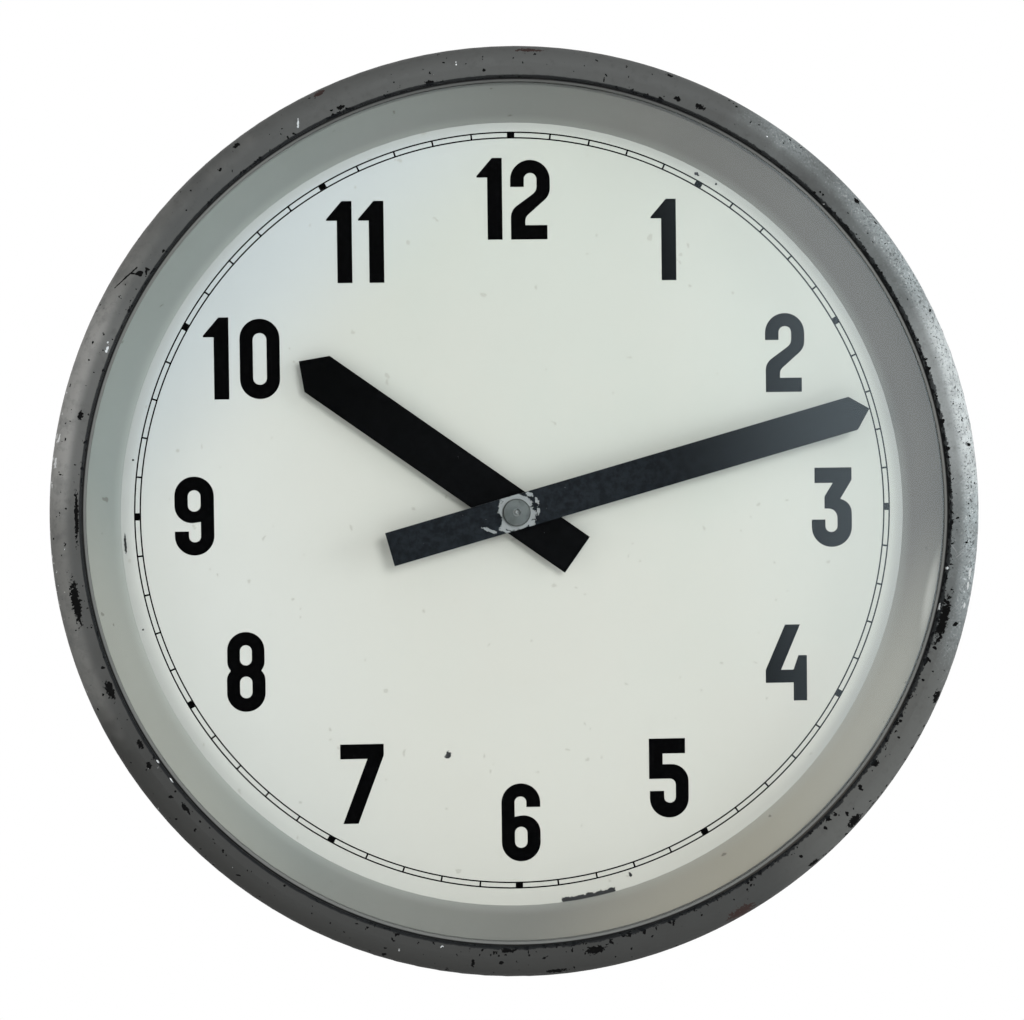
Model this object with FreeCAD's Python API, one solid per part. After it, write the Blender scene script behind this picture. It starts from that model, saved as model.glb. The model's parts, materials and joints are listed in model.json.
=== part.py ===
import FreeCAD, Part
import math
import os

# Factory wall clock with an impulse movement. Sizes are in millimetres.
# It is drawn with x to the right, y up and z out of the wall, and turned upright when it is saved.

Vector = FreeCAD.Vector
ORIGIN = Vector(0, 0, 0)
FORWARD = Vector(0, 0, 1)

# Case
CASE_DEPTH = 76.0
CASE_SHEET = 1.2
CASE_CORNER = 10.0
FIXING_HOLE = 2.75
FIXING_X = 60.0
FIXING_INSET = 73.0
CABLE_HOLE = 8.0
CABLE_BORE = 5.0
CABLE_DROP = 20.0
GROMMET_FLANGE = 2.5

# Hanger
HANGER_SHEET = 2.0
HANGER_WIDTH = 60.0
HANGER_HEIGHT = 44.0
HANGER_INSET = 68.0
KEYHOLE = 5.5
KEYHOLE_SLOT = 3.0
KEYHOLE_RISE = 14.0
KEYHOLE_MARGIN = 1.0
RIVET = 2.0

# Bezel
BEZEL_RADIUS = 225.0
BEZEL_WIDTH = 15.5
BEZEL_SHEET = 1.5
BEZEL_SHOULDER = 8.5
BEZEL_RISE = 3.2
BEZEL_LIP = 2.0
BEZEL_LIP_SEAT = 3.0
BEZEL_LIP_BEVEL = 0.6
BEZEL_SKIRT = 36.0
BEZEL_FIT = 0.5
BEZEL_SCREWS = 4
BEZEL_SCREW = 1.6
BEZEL_SCREW_HEAD = 3.2
BEZEL_SCREW_INSET = 13.0
NUT_BLOCK = (4.0, 14.0, 10.0)

# Glass and gasket
GLASS_SHEET = 3.0
GASKET_WALL = 1.5
GASKET_SHOW = 1.9
GASKET_ROOM = 0.65

# Dial and reflector ring
MOTION_ROOM = 11.6
DIAL_SHEET = 1.2
DIAL_MARGIN = 6.3
DIAL_EDGE = 6.0
DIAL_HOLE = 9.0
REFLECTOR_FLARE = 15.8
REFLECTOR_COVER = 1.0
REFLECTOR_SHEET = 0.8
REFLECTOR_ROOM = 1.0
REFLECTOR_DROP = 2.0

# Dial brackets
BRACKETS = 4
BRACKET_INSET = 19.0
BRACKET_FOOT = 15.0
BRACKET_WIDTH = 18.0
BRACKET_SHEET = 1.5
BRACKET_BEND = 1.5
DIAL_STUD = 2.0
DIAL_STUD_LENGTH = 7.5
DIAL_NUT = 3.2

# Movement frame
STANDOFF_FLATS = 8.0
STANDOFF_SPIGOT = 5.0
PLATE = 2.0
PLATE_LEFT = -46.0
PLATE_RIGHT = 54.0
PLATE_BOTTOM = -84.0
PLATE_TOP = 44.0
PLATE_CORNER = 6.0
PILLAR = 4.0
PILLAR_INSET = 7.0
PILLAR_THREAD = 2.0
PILLAR_SCREW_DEPTH = 8.0

# Centre arbor and hands
RUNNING_FIT = 0.04
ARBOR = 2.0
ARBOR_TIP = 1.1
TIP_CHAMFER = 0.3
BUSH = 4.5
BUSH_STAND = 0.6
CANNON_TUBE = 3.2
HOUR_PIPE_WALL = 1.36
HOUR_ANGLE = 305.5
HOUR_WIDTH = 21.5
HOUR_GAP = 63.7
HOUR_TAIL = 36.9
HOUR_LIFT = 5.0
HOUR_COLLET_WALL = 2.9
HOUR_COLLET_LENGTH = 4.0
MINUTE_ANGLE = 74.4
MINUTE_WIDTH = 16.8
MINUTE_GAP = 11.8
MINUTE_TAIL = 64.4
MINUTE_LIFT = 11.0
MINUTE_COLLET_WALL = 3.5
MINUTE_COLLET_LENGTH = 3.0
HUB = 6.75
HUB_HEIGHT = 2.1
HUB_RECESS = 1.85
HUB_CHAMFER = 0.5
HAND_SHEET = 1.2
COLLET_SPIGOT = 1.2

# Motion work
PRESSURE = math.radians(20)
ADDENDUM = 0.9
DEDENDUM = 1.25
BACKLASH = 0.08
MINUTE_MODULE = 0.5
CANNON_TEETH = 18
MOTION_TEETH = 54
PINION_TEETH = 16
HOUR_TEETH = 64
MOTION_DIRECTION = math.radians(40)
MOTION_STUD = 1.6
MOTION_COLLAR = 3.0
WHEEL = 2.0
PINION_OVERLAP = 0.5
SIDE_PLAY = 0.6
CLIP = 0.8

# Ratchet
RATCHET_TEETH = 60
RATCHET_TIP = 22.0
RATCHET_TOOTH = 1.7
RATCHET_OFFSET = 1.0
RATCHET_HUB = 6.0
RATCHET_BOSS = 4.0
RATCHET_HUB_LENGTH = 4.0
PAWL_CLEARANCE = 0.4
PAWL_HUB = 3.2
PAWL_STUD = 1.5
PAWL_STUD_HEAD = 2.6
PAWL_ARM = 4.2
PAWL_NOSE = 6.0
DRIVE_PIVOT_X = -32.0
DRIVE_NOSE_ANGLE = math.radians(184)
BACKSTOP_PIVOT = (-14.0, 33.0)
BACKSTOP_NOSE_ANGLE = math.radians(75)
PAWL_SPRING = 0.3
PAWL_SPRING_GAP = 0.3

# Electromagnet
COIL_X = 16.0
CORE = 4.5
MAGNET_DROP = 12.0
CORE_LENGTH = 36.0
YOKE_HEIGHT = 6.0
YOKE_HALF = 24.0
IRON_DEPTH = 12.0
BOBBIN = 10.0
BOBBIN_WALL = 1.0
BOBBIN_FLANGE = 1.5
BOBBIN_END = 1.5
BOBBIN_LIP = 1.0
COIL_ROOM = 1.0
YOKE_SCREW_X = 20.5
YOKE_SCREW = 1.6
YOKE_SCREW_ROOM = 0.1
SCREW_HEAD = 3.5
SCREW_HEAD_HEIGHT = 2.2

# Armature
AIR_GAP = 2.5
ARMATURE_SHEET = 5.0
ARMATURE_END_GAP = 1.8
ARMATURE_PIVOT_X = 37.0
ARMATURE_HUB = 3.5
ARMATURE_PIVOT_DROP = 3.7
ARMATURE_HUB_PLAY = 0.8
TAB_REACH = 4.0
TAB_SHEET = 3.0
STOP_X = -20.0
STOP_POST = 3.0
REST_GAP = 0.3
RETURN_SPRING = 0.4
RETURN_SPRING_WIDTH = 5.0
RETURN_SPRING_ENDS = (6.0, 52.0)
SPRING_PIN = 1.5
SPRING_PIN_X = 50.0
SPRING_RIVETS = (11.0, 23.0)
SPRING_RIVET = 1.2

# Terminals and leads
TERMINAL_DROP = 44.0
TERMINAL_SIZE = (66.0, 20.0, 12.0)
TERMINAL_END = 8.0
TERMINAL_RIB = 2.0
TERMINAL_STEP = 4.0
TERMINAL_SCREW = 1.6
LEAD = 0.7
LEAD_BEND = 6.0
LEAD_ROOM = 0.3

# Levels above the wall that follow from the sizes
reflector_top = CASE_DEPTH + REFLECTOR_SHEET
glass_back = reflector_top + GASKET_WALL
glass_front = glass_back + GLASS_SHEET
lip_back = glass_front + GASKET_WALL
lip_front = lip_back + BEZEL_LIP
bezel_screw_level = CASE_DEPTH - BEZEL_SCREW_INSET

# The movement with its hands stands midway between the case back and the glass
pillar_length = 2 * (BOBBIN + COIL_ROOM)
hands_height = MINUTE_LIFT + HAND_SHEET + HUB_HEIGHT
movement_height = 2 * PLATE + pillar_length + MOTION_ROOM + DIAL_SHEET + hands_height
standoff_length = (glass_back - CASE_SHEET - movement_height) / 2
plate_back = CASE_SHEET + standoff_length
plate_front = plate_back + PLATE + pillar_length
motion_floor = plate_front + PLATE
middle = plate_back + PLATE + pillar_length / 2
dial_back = motion_floor + MOTION_ROOM
dial_front = dial_back + DIAL_SHEET

# Section of the bezel: its front slopes up to a corner that the shoulder rounds
bezel_slope = BEZEL_RISE / BEZEL_WIDTH
bezel_drop = BEZEL_SHEET * math.hypot(1, bezel_slope)
bezel_corner = lip_front + BEZEL_RISE
bezel_inside = BEZEL_RADIUS - BEZEL_SHEET
inner_corner = bezel_corner - bezel_slope * BEZEL_SHEET - bezel_drop
inner_shoulder = BEZEL_SHOULDER - BEZEL_SHEET
shoulder_middle = inner_corner - inner_shoulder / math.tan((math.pi / 2 - math.atan(bezel_slope)) / 2)
shoulder_reach = math.sqrt(inner_shoulder ** 2 - (lip_back - shoulder_middle) ** 2)

# Radii that follow from the sizes
case_radius = bezel_inside - BEZEL_FIT
case_inside = case_radius - CASE_SHEET
lip_radius = BEZEL_RADIUS - BEZEL_WIDTH
gasket_inside = lip_radius - GASKET_SHOW
gasket_radius = bezel_inside - inner_shoulder + shoulder_reach - GASKET_ROOM
glass_radius = gasket_radius - GASKET_WALL
reflector_neck = lip_radius - REFLECTOR_COVER
reflector_foot = reflector_neck - REFLECTOR_FLARE
case_opening = reflector_neck + REFLECTOR_SHEET + REFLECTOR_DROP + REFLECTOR_ROOM
dial_radius = reflector_foot + DIAL_MARGIN
bracket_radius = dial_radius - BRACKET_INSET
minute_tip = reflector_foot - MINUTE_GAP
hour_tip = reflector_foot - HOUR_GAP
hour_pipe_radius = CANNON_TUBE + RUNNING_FIT + HOUR_PIPE_WALL
hour_collet_radius = hour_pipe_radius + HOUR_COLLET_WALL
minute_collet_radius = ARBOR + MINUTE_COLLET_WALL

# Heights on the case back
hanger_y = case_radius - HANGER_INSET
fixing_y = FIXING_INSET - case_radius
cable_y = PLATE_BOTTOM - CABLE_DROP
terminal_y = PLATE_BOTTOM - TERMINAL_DROP
terminal_pitch = (TERMINAL_SIZE[0] - 2 * TERMINAL_END - TERMINAL_RIB) / 3

# Levels of the movement's wheels and of the hands
ratchet_back = middle + RATCHET_OFFSET
cannon_back = motion_floor + SIDE_PLAY
motion_back = cannon_back + PINION_OVERLAP
pinion_back = motion_back + WHEEL
cannon_front = pinion_back + PINION_OVERLAP
hour_wheel_back = pinion_back + 2 * PINION_OVERLAP
pinion_front = hour_wheel_back + WHEEL + PINION_OVERLAP
hour_hand_back = dial_front + HOUR_LIFT
hour_hand_front = hour_hand_back + HAND_SHEET
minute_hand_back = dial_front + MINUTE_LIFT
minute_hand_front = minute_hand_back + HAND_SHEET
minute_collet_back = minute_hand_back - MINUTE_COLLET_LENGTH
hub_front = minute_hand_front + HUB_HEIGHT

# Heights of the magnet and its armature
core_top = -RATCHET_TIP - MAGNET_DROP
yoke_top = core_top - CORE_LENGTH
yoke_middle = yoke_top - YOKE_HEIGHT / 2
armature_bottom = core_top + AIR_GAP
armature_top = armature_bottom + ARMATURE_SHEET
armature_left = DRIVE_PIVOT_X + PAWL_HUB + ARMATURE_END_GAP
tab_end = DRIVE_PIVOT_X - TAB_REACH
armature_pivot = (ARMATURE_PIVOT_X, armature_top - ARMATURE_PIVOT_DROP)
drive_pivot = (DRIVE_PIVOT_X, armature_top - ARMATURE_SHEET / 2)
iron_back = middle - IRON_DEPTH / 2
iron_front = middle + IRON_DEPTH / 2
tab_back = ratchet_back - 2 * SIDE_PLAY - TAB_SHEET

# Motion work: both gear pairs share one distance
motion_distance = MINUTE_MODULE * (CANNON_TEETH + MOTION_TEETH) / 2
hour_module = 2 * motion_distance / (PINION_TEETH + HOUR_TEETH)
motion_axis = (motion_distance * math.cos(MOTION_DIRECTION), motion_distance * math.sin(MOTION_DIRECTION))


def outline(corners):
    """Closed wire through (x, y) corners; a third number rounds its corner."""
    count = len(corners)
    edges = []
    ends = []
    for i, corner in enumerate(corners):
        here = Vector(corner[0], corner[1], 0)
        if len(corner) == 2:
            ends.append((here, here))
            continue
        before = Vector(*corners[i - 1][:2], 0) - here
        after = Vector(*corners[(i + 1) % count][:2], 0) - here
        before.normalize()
        after.normalize()
        half = before.getAngle(after) / 2
        reach = corner[2] / math.tan(half)
        inward = (before + after).normalize()
        nearest = here + inward * (corner[2] / math.sin(half) - corner[2])
        ends.append((here + before * reach, here + after * reach))
        edges.append(Part.Arc(ends[i][0], nearest, ends[i][1]).toShape())
    for i in range(count):
        start = ends[i][1]
        end = ends[(i + 1) % count][0]
        if start.distanceToPoint(end) > 1e-6:
            edges.append(Part.LineSegment(start, end).toShape())
    return Part.Wire(Part.sortEdges(edges)[0])


def prism(corners, back, front):
    """Outline drawn on the wall plane, raised to run from back to front."""
    face = Part.Face(outline(corners))
    return face.translated(Vector(0, 0, back)).extrude(Vector(0, 0, front - back))


def spun(section):
    """Section of (radius, height) corners turned round the clock's axis."""
    face = Part.Face(outline(section)).rotated(ORIGIN, Vector(1, 0, 0), 90)
    return face.revolve(ORIGIN, FORWARD, 360)


def rod(radius, back, front, place=(0, 0)):
    return Part.makeCylinder(radius, front - back, Vector(place[0], place[1], back))


def tube(outside, inside, back, front, place=(0, 0)):
    return rod(outside, back, front, place).cut(rod(inside, back, front, place))


def block(left, right, bottom, top, back, front):
    return Part.makeBox(right - left, top - bottom, front - back, Vector(left, bottom, back))


def hexagon(flats, back, front, place=(0, 0)):
    corner = flats / math.sqrt(3)
    angles = [math.radians(60 * i) for i in range(6)]
    corners = [(place[0] + corner * math.cos(a), place[1] + corner * math.sin(a)) for a in angles]
    return prism(corners, back, front)


def turned(shape, degrees):
    return shape.rotated(ORIGIN, FORWARD, degrees)


def round_the_case(shape, count):
    """Copies of a shape on +x, spread evenly between the quarter lines."""
    return [turned(shape, 360 / count * (i + 0.5)) for i in range(count)]


def group(shapes):
    return Part.makeCompound(shapes)


def keyhole(radius, slot, back, front):
    top = hanger_y - HANGER_HEIGHT / 2 + 2 * KEYHOLE + KEYHOLE_RISE
    entry = top - KEYHOLE_RISE
    hole = rod(radius, back, front, (0, entry))
    hole = hole.fuse(block(-slot, slot, entry, top, back, front))
    return hole.fuse(rod(slot, back, front, (0, top)))


# Bezel screws lie along a radius: drawn on +x and turned into place
def radial_rod(radius, inner, outer):
    return Part.makeCylinder(radius, outer - inner, Vector(inner, 0, bezel_screw_level), Vector(1, 0, 0))


def countersink(depth):
    """Cone that opens outward from the foot of a bezel screw's head."""
    flush = BEZEL_RADIUS - BEZEL_SCREW_HEAD ** 2 / (2 * BEZEL_RADIUS)
    foot = Vector(flush - BEZEL_SCREW_HEAD + BEZEL_SCREW, 0, bezel_screw_level)
    return Part.makeCone(BEZEL_SCREW, BEZEL_SCREW + depth, depth, foot, Vector(1, 0, 0))


def bezel_screw():
    head = countersink(BEZEL_SCREW_HEAD - BEZEL_SCREW)
    shank = radial_rod(BEZEL_SCREW, case_inside - NUT_BLOCK[0], bezel_inside)
    return head.fuse(shank).removeSplitter()


def bezel_sink():
    hole = radial_rod(BEZEL_SCREW, bezel_inside - BEZEL_SHEET, bezel_inside + BEZEL_SHEET / 2)
    return hole.fuse(countersink(2 * BEZEL_SCREW_HEAD))


def nut_block():
    depth, width, height = NUT_BLOCK
    bottom = bezel_screw_level - height / 2
    body = block(case_inside - 2 * depth, case_inside, -width / 2, width / 2, bottom, bottom + height)
    body = body.common(tube(case_inside, case_inside - depth, bottom, bottom + height))
    return body.cut(radial_rod(BEZEL_SCREW, case_inside - 2 * depth, case_inside))


def case_shell():
    section = [
        (0, 0),
        (case_radius, 0, CASE_CORNER),
        (case_radius, CASE_DEPTH),
        (case_opening, CASE_DEPTH),
        (case_opening, CASE_DEPTH - CASE_SHEET),
        (case_inside, CASE_DEPTH - CASE_SHEET),
        (case_inside, CASE_SHEET, CASE_CORNER - CASE_SHEET),
        (0, CASE_SHEET),
    ]
    holes = [keyhole(KEYHOLE + KEYHOLE_MARGIN, KEYHOLE_SLOT + KEYHOLE_MARGIN, 0, CASE_SHEET)]
    holes += [rod(FIXING_HOLE, 0, CASE_SHEET, (side * FIXING_X, fixing_y)) for side in (-1, 1)]
    holes.append(rod(CABLE_HOLE, 0, CASE_SHEET, (0, cable_y)))
    holes += [rod(RIVET, 0, CASE_SHEET, place) for place in rivet_places()]
    holes += [rod(TERMINAL_SCREW, 0, CASE_SHEET, place) for place in terminal_fixing_places()]
    screw_way = radial_rod(BEZEL_SCREW + REST_GAP, case_inside - 1, case_radius + 1)
    holes += round_the_case(screw_way, BEZEL_SCREWS)
    return spun(section).cut(group(holes))


def rivet_places():
    across = HANGER_WIDTH / 2 - 3 * RIVET
    up = HANGER_HEIGHT / 2 - 3 * RIVET
    return [(x, hanger_y + y) for x in (-across, across) for y in (-up, up)]


def hanger_plate():
    across = HANGER_WIDTH / 2
    up = HANGER_HEIGHT / 2
    front = CASE_SHEET + HANGER_SHEET
    ends = ((-across, -up), (across, -up), (across, up), (-across, up))
    corners = [(x, hanger_y + y, 2 * RIVET) for x, y in ends]
    plate = prism(corners, CASE_SHEET, front)
    holes = [rod(RIVET, CASE_SHEET, front, place) for place in rivet_places()]
    return plate.cut(group(holes)).cut(keyhole(KEYHOLE, KEYHOLE_SLOT, CASE_SHEET, front))


def hanger_rivets():
    top = CASE_SHEET + HANGER_SHEET
    rivets = []
    for place in rivet_places():
        shank = rod(RIVET, 0, top, place)
        head = Part.makeCone(1.8 * RIVET, RIVET, RIVET / 2, Vector(place[0], place[1], top))
        rivets.append(shank.fuse(head).removeSplitter())
    return group(rivets)


def cable_grommet():
    flange = CABLE_HOLE + GROMMET_FLANGE
    top = CASE_SHEET + GROMMET_FLANGE
    section = [
        (CABLE_BORE, 0),
        (CABLE_HOLE, 0),
        (CABLE_HOLE, CASE_SHEET),
        (flange, CASE_SHEET),
        (flange, top - GROMMET_FLANGE / 2),
        (flange - GROMMET_FLANGE / 2, top),
        (CABLE_BORE, top),
    ]
    return spun(section).translated(Vector(0, cable_y, 0))


def bezel():
    seat = lip_radius + BEZEL_LIP_SEAT
    back = bezel_corner - BEZEL_SKIRT
    section = [
        (lip_radius, lip_back),
        (lip_radius, lip_front - BEZEL_LIP_BEVEL),
        (lip_radius + BEZEL_LIP_BEVEL, lip_front + bezel_slope * BEZEL_LIP_BEVEL),
        (BEZEL_RADIUS, bezel_corner, BEZEL_SHOULDER),
        (BEZEL_RADIUS, back),
        (bezel_inside, back),
        (bezel_inside, inner_corner, inner_shoulder),
        (seat, lip_front + bezel_slope * BEZEL_LIP_SEAT - bezel_drop),
        (seat, lip_back),
    ]
    return spun(section).cut(group(round_the_case(bezel_sink(), BEZEL_SCREWS)))


def glass():
    return rod(glass_radius, glass_back, glass_front)


def glass_gasket():
    section = [
        (gasket_inside, reflector_top),
        (gasket_radius, reflector_top),
        (gasket_radius, lip_back),
        (gasket_inside, lip_back),
        (gasket_inside, glass_front),
        (glass_radius, glass_front),
        (glass_radius, glass_back),
        (gasket_inside, glass_back),
    ]
    return spun(section)


def reflector_ring():
    """Conical ring; it hangs a little low on its seat."""
    flare = (reflector_neck - reflector_foot) / (reflector_top - dial_front)
    across = REFLECTOR_SHEET * math.hypot(1, flare)
    under = reflector_foot + across + flare * (CASE_DEPTH - dial_front)
    flange = glass_radius
    section = [
        (reflector_foot, dial_front),
        (reflector_foot + across, dial_front),
        (under, CASE_DEPTH),
        (flange, CASE_DEPTH),
        (flange, reflector_top),
        (reflector_neck, reflector_top),
    ]
    return spun(section).translated(Vector(0, -REFLECTOR_DROP, 0))


def dial():
    section = [
        (DIAL_HOLE, dial_back),
        (dial_radius - DIAL_SHEET, dial_back),
        (dial_radius - DIAL_SHEET, dial_front - DIAL_EDGE),
        (dial_radius, dial_front - DIAL_EDGE),
        (dial_radius, dial_front),
        (DIAL_HOLE, dial_front),
    ]
    return spun(section)


def bracket_stud_place():
    return (bracket_radius - BRACKET_FOOT / 2, 0)


def dial_bracket():
    """Bent strip from the case back to the back of the dial."""
    outer = BRACKET_BEND + BRACKET_SHEET
    foot = bracket_radius + BRACKET_SHEET + BRACKET_FOOT
    shelf = bracket_radius - BRACKET_FOOT
    section = [
        (foot, CASE_SHEET),
        (bracket_radius, CASE_SHEET, outer),
        (bracket_radius, dial_back - BRACKET_SHEET, BRACKET_BEND),
        (shelf, dial_back - BRACKET_SHEET),
        (shelf, dial_back),
        (bracket_radius + BRACKET_SHEET, dial_back, outer),
        (bracket_radius + BRACKET_SHEET, CASE_SHEET + BRACKET_SHEET, BRACKET_BEND),
        (foot, CASE_SHEET + BRACKET_SHEET),
    ]
    strip = Part.Face(outline(section)).rotated(ORIGIN, Vector(1, 0, 0), 90)
    strip = strip.translated(Vector(0, -BRACKET_WIDTH / 2, 0)).extrude(Vector(0, BRACKET_WIDTH, 0))
    return strip.cut(rod(DIAL_STUD, CASE_SHEET, dial_back, bracket_stud_place()))


def dial_stud():
    return rod(DIAL_STUD, dial_back - DIAL_STUD_LENGTH, dial_back, bracket_stud_place())


def dial_nut():
    front = dial_back - BRACKET_SHEET
    nut = hexagon(3.5 * DIAL_STUD, front - DIAL_NUT, front, bracket_stud_place())
    return nut.cut(rod(DIAL_STUD, front - DIAL_NUT, front, bracket_stud_place()))


# Movement frame
def pillar_places():
    across = (PLATE_LEFT + PILLAR_INSET, PLATE_RIGHT - PILLAR_INSET)
    up = (PLATE_BOTTOM + PILLAR_INSET, PLATE_TOP - PILLAR_INSET)
    return [(x, y) for x in across for y in up]


def yoke_screw_places():
    return [(-YOKE_SCREW_X, yoke_middle), (YOKE_SCREW_X, yoke_middle)]


def post_places():
    """Stop post and spring pin with their radii, both standing on the back plate."""
    stop = (STOP_X, armature_top + REST_GAP + STOP_POST)
    pin = (SPRING_PIN_X, armature_top + RETURN_SPRING + REST_GAP + SPRING_PIN)
    return [(stop, STOP_POST), (pin, SPRING_PIN)]


def frame_plate(back, holes):
    corners = [
        (PLATE_LEFT, PLATE_BOTTOM, PLATE_CORNER),
        (PLATE_RIGHT, PLATE_BOTTOM, PLATE_CORNER),
        (PLATE_RIGHT, PLATE_TOP, PLATE_CORNER),
        (PLATE_LEFT, PLATE_TOP, PLATE_CORNER),
    ]
    plate = prism(corners, back, back + PLATE)
    return plate.cut(group([rod(radius, back, back + PLATE, place) for place, radius in holes]))


def movement_back_plate():
    holes = [(place, PILLAR_THREAD) for place in pillar_places()]
    holes += [((0, 0), BUSH), (armature_pivot, ARBOR), (BACKSTOP_PIVOT, PAWL_STUD)]
    holes += [(place, YOKE_SCREW) for place in yoke_screw_places()]
    return frame_plate(plate_back, holes)


def movement_front_plate():
    holes = [(place, PILLAR_THREAD) for place in pillar_places()]
    holes += [((0, 0), BUSH), (armature_pivot, ARBOR), (motion_axis, MOTION_STUD)]
    return frame_plate(plate_front, holes)


def standoff(place):
    body = hexagon(STANDOFF_FLATS, CASE_SHEET, plate_back, place)
    return body.fuse(rod(PILLAR_THREAD, plate_back, plate_back + PLATE + STANDOFF_SPIGOT, place))


def pillar(place):
    back = plate_back + PLATE
    body = rod(PILLAR, back, plate_front, place)
    body = body.cut(rod(PILLAR_THREAD, back, back + STANDOFF_SPIGOT, place))
    return body.cut(rod(PILLAR_THREAD, plate_front - PILLAR_SCREW_DEPTH, plate_front, place))


def pan_screw(radius, tip, seat, place):
    """Screw with a bevelled round head that sits on the seat level."""
    head = SCREW_HEAD * radius / PILLAR_THREAD
    height = SCREW_HEAD_HEIGHT * radius / PILLAR_THREAD
    section = [
        (0, tip),
        (radius, tip),
        (radius, seat),
        (head, seat),
        (head, seat + height / 2),
        (head - height / 2, seat + height),
        (0, seat + height),
    ]
    return spun(section).translated(Vector(place[0], place[1], 0))


def pillar_screw(place):
    return pan_screw(PILLAR_THREAD, plate_front - PILLAR_SCREW_DEPTH, motion_floor, place)


# Gears: round teeth from three points on each involute flank
def flank_angle(radius, teeth, module):
    pitch = module * teeth / 2
    base = pitch * math.cos(PRESSURE)
    there = math.acos(min(1, base / radius))
    half = math.pi / (2 * teeth) - BACKLASH / (2 * pitch)
    return half + (math.tan(PRESSURE) - PRESSURE) - (math.tan(there) - there)


def polar(radius, angle):
    return Vector(radius * math.cos(angle), radius * math.sin(angle), 0)


def gear(teeth, module, bore, back, front, first_tooth):
    pitch = module * teeth / 2
    tip = pitch + ADDENDUM * module
    root = pitch - DEDENDUM * module
    low = max(root, pitch * math.cos(PRESSURE))
    levels = (low, (low + tip) / 2, tip)
    halves = [flank_angle(radius, teeth, module) for radius in levels]
    step = 2 * math.pi / teeth
    edges = []
    for i in range(teeth):
        angle = first_tooth + i * step
        rise = [polar(radius, angle - half) for radius, half in zip(levels, halves)]
        fall = [polar(radius, angle + half) for radius, half in zip(levels, halves)]
        edges.append(Part.Arc(*rise).toShape())
        edges.append(Part.Arc(rise[2], polar(tip, angle), fall[2]).toShape())
        edges.append(Part.Arc(*fall).toShape())
        floor = [polar(root, angle + halves[0]), polar(root, angle + step - halves[0])]
        edges.append(Part.Arc(floor[0], polar(root, angle + step / 2), floor[1]).toShape())
        if low > root:
            edges.append(Part.LineSegment(fall[0], floor[0]).toShape())
            edges.append(Part.LineSegment(floor[1], polar(low, angle + step - halves[0])).toShape())
    face = Part.Face(Part.Wire(Part.sortEdges(edges)[0]))
    wheel = face.translated(Vector(0, 0, back)).extrude(Vector(0, 0, front - back))
    return wheel.cut(rod(bore, back, front))


def moved_to(shape, place):
    return shape.translated(Vector(place[0], place[1], 0))


# Centre arbor: ratchet, cannon pinion and minute hand turn together
def centre_arbor():
    shoulder = minute_hand_front + HUB_HEIGHT / 3
    section = [
        (0, plate_back - BUSH_STAND),
        (ARBOR, plate_back - BUSH_STAND),
        (ARBOR, shoulder),
        (ARBOR_TIP, shoulder),
        (ARBOR_TIP, hub_front - TIP_CHAMFER),
        (ARBOR_TIP - TIP_CHAMFER, hub_front),
        (0, hub_front),
    ]
    return spun(section)


def bush(back, front):
    return tube(BUSH, ARBOR + RUNNING_FIT, back, front)


def ratchet_wheel():
    """Sixty saw teeth, their steep faces turned against the backstop."""
    step = 2 * math.pi / RATCHET_TEETH
    corners = []
    for i in range(RATCHET_TEETH):
        angle = DRIVE_NOSE_ANGLE + (i - 0.3) * step
        for radius, turn in ((RATCHET_TIP - RATCHET_TOOTH, angle), (RATCHET_TIP, angle + step)):
            corners.append((radius * math.cos(turn), radius * math.sin(turn)))
    wheel = prism(corners, ratchet_back, ratchet_back + WHEEL)
    return wheel.cut(rod(RATCHET_BOSS, ratchet_back, ratchet_back + WHEEL))


def ratchet_hub():
    front = ratchet_back + WHEEL + BUSH_STAND
    section = [
        (ARBOR, ratchet_back - RATCHET_HUB_LENGTH),
        (RATCHET_HUB, ratchet_back - RATCHET_HUB_LENGTH),
        (RATCHET_HUB, ratchet_back),
        (RATCHET_BOSS, ratchet_back),
        (RATCHET_BOSS, front),
        (ARBOR, front),
    ]
    return spun(section)


def cannon_pinion():
    teeth = gear(CANNON_TEETH, MINUTE_MODULE, ARBOR, cannon_back, cannon_front, MOTION_DIRECTION)
    return teeth.fuse(tube(CANNON_TUBE, ARBOR, cannon_front, minute_collet_back)).removeSplitter()


def hand(width, tip, tail, hole, back, angle):
    half = width / 2
    corners = [(-half, -tail), (half, -tail), (half, tip - half), (0, tip), (-half, tip - half)]
    blade = prism(corners, back, back + HAND_SHEET).cut(rod(hole, back, back + HAND_SHEET))
    return turned(blade, -angle)


def minute_hand():
    spigot = minute_collet_radius - COLLET_SPIGOT
    return hand(MINUTE_WIDTH, minute_tip, MINUTE_TAIL, spigot, minute_hand_back, MINUTE_ANGLE)


def minute_hand_collet():
    """Collet below the hand, spigot through it and the round hub on its front."""
    shoulder = minute_hand_front + HUB_HEIGHT / 3
    spigot = minute_collet_radius - COLLET_SPIGOT
    section = [
        (ARBOR, minute_collet_back),
        (minute_collet_radius, minute_collet_back),
        (minute_collet_radius, minute_hand_back),
        (spigot, minute_hand_back),
        (spigot, minute_hand_front),
        (HUB, minute_hand_front),
        (HUB, hub_front - HUB_CHAMFER),
        (HUB - HUB_CHAMFER, hub_front),
        (HUB_RECESS, hub_front),
        (HUB_RECESS, shoulder),
        (ARBOR, shoulder),
    ]
    return spun(section)


# Motion wheel and its pinion carry the turn to the hour wheel
def motion_wheel():
    gap = MOTION_DIRECTION + math.pi + math.pi / MOTION_TEETH
    wheel = gear(MOTION_TEETH, MINUTE_MODULE, MOTION_STUD + RUNNING_FIT, motion_back, pinion_back, gap)
    return moved_to(wheel, motion_axis)


def motion_pinion():
    tooth = MOTION_DIRECTION + math.pi
    pinion = gear(PINION_TEETH, hour_module, MOTION_STUD + RUNNING_FIT, pinion_back, pinion_front, tooth)
    return moved_to(pinion, motion_axis)


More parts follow.
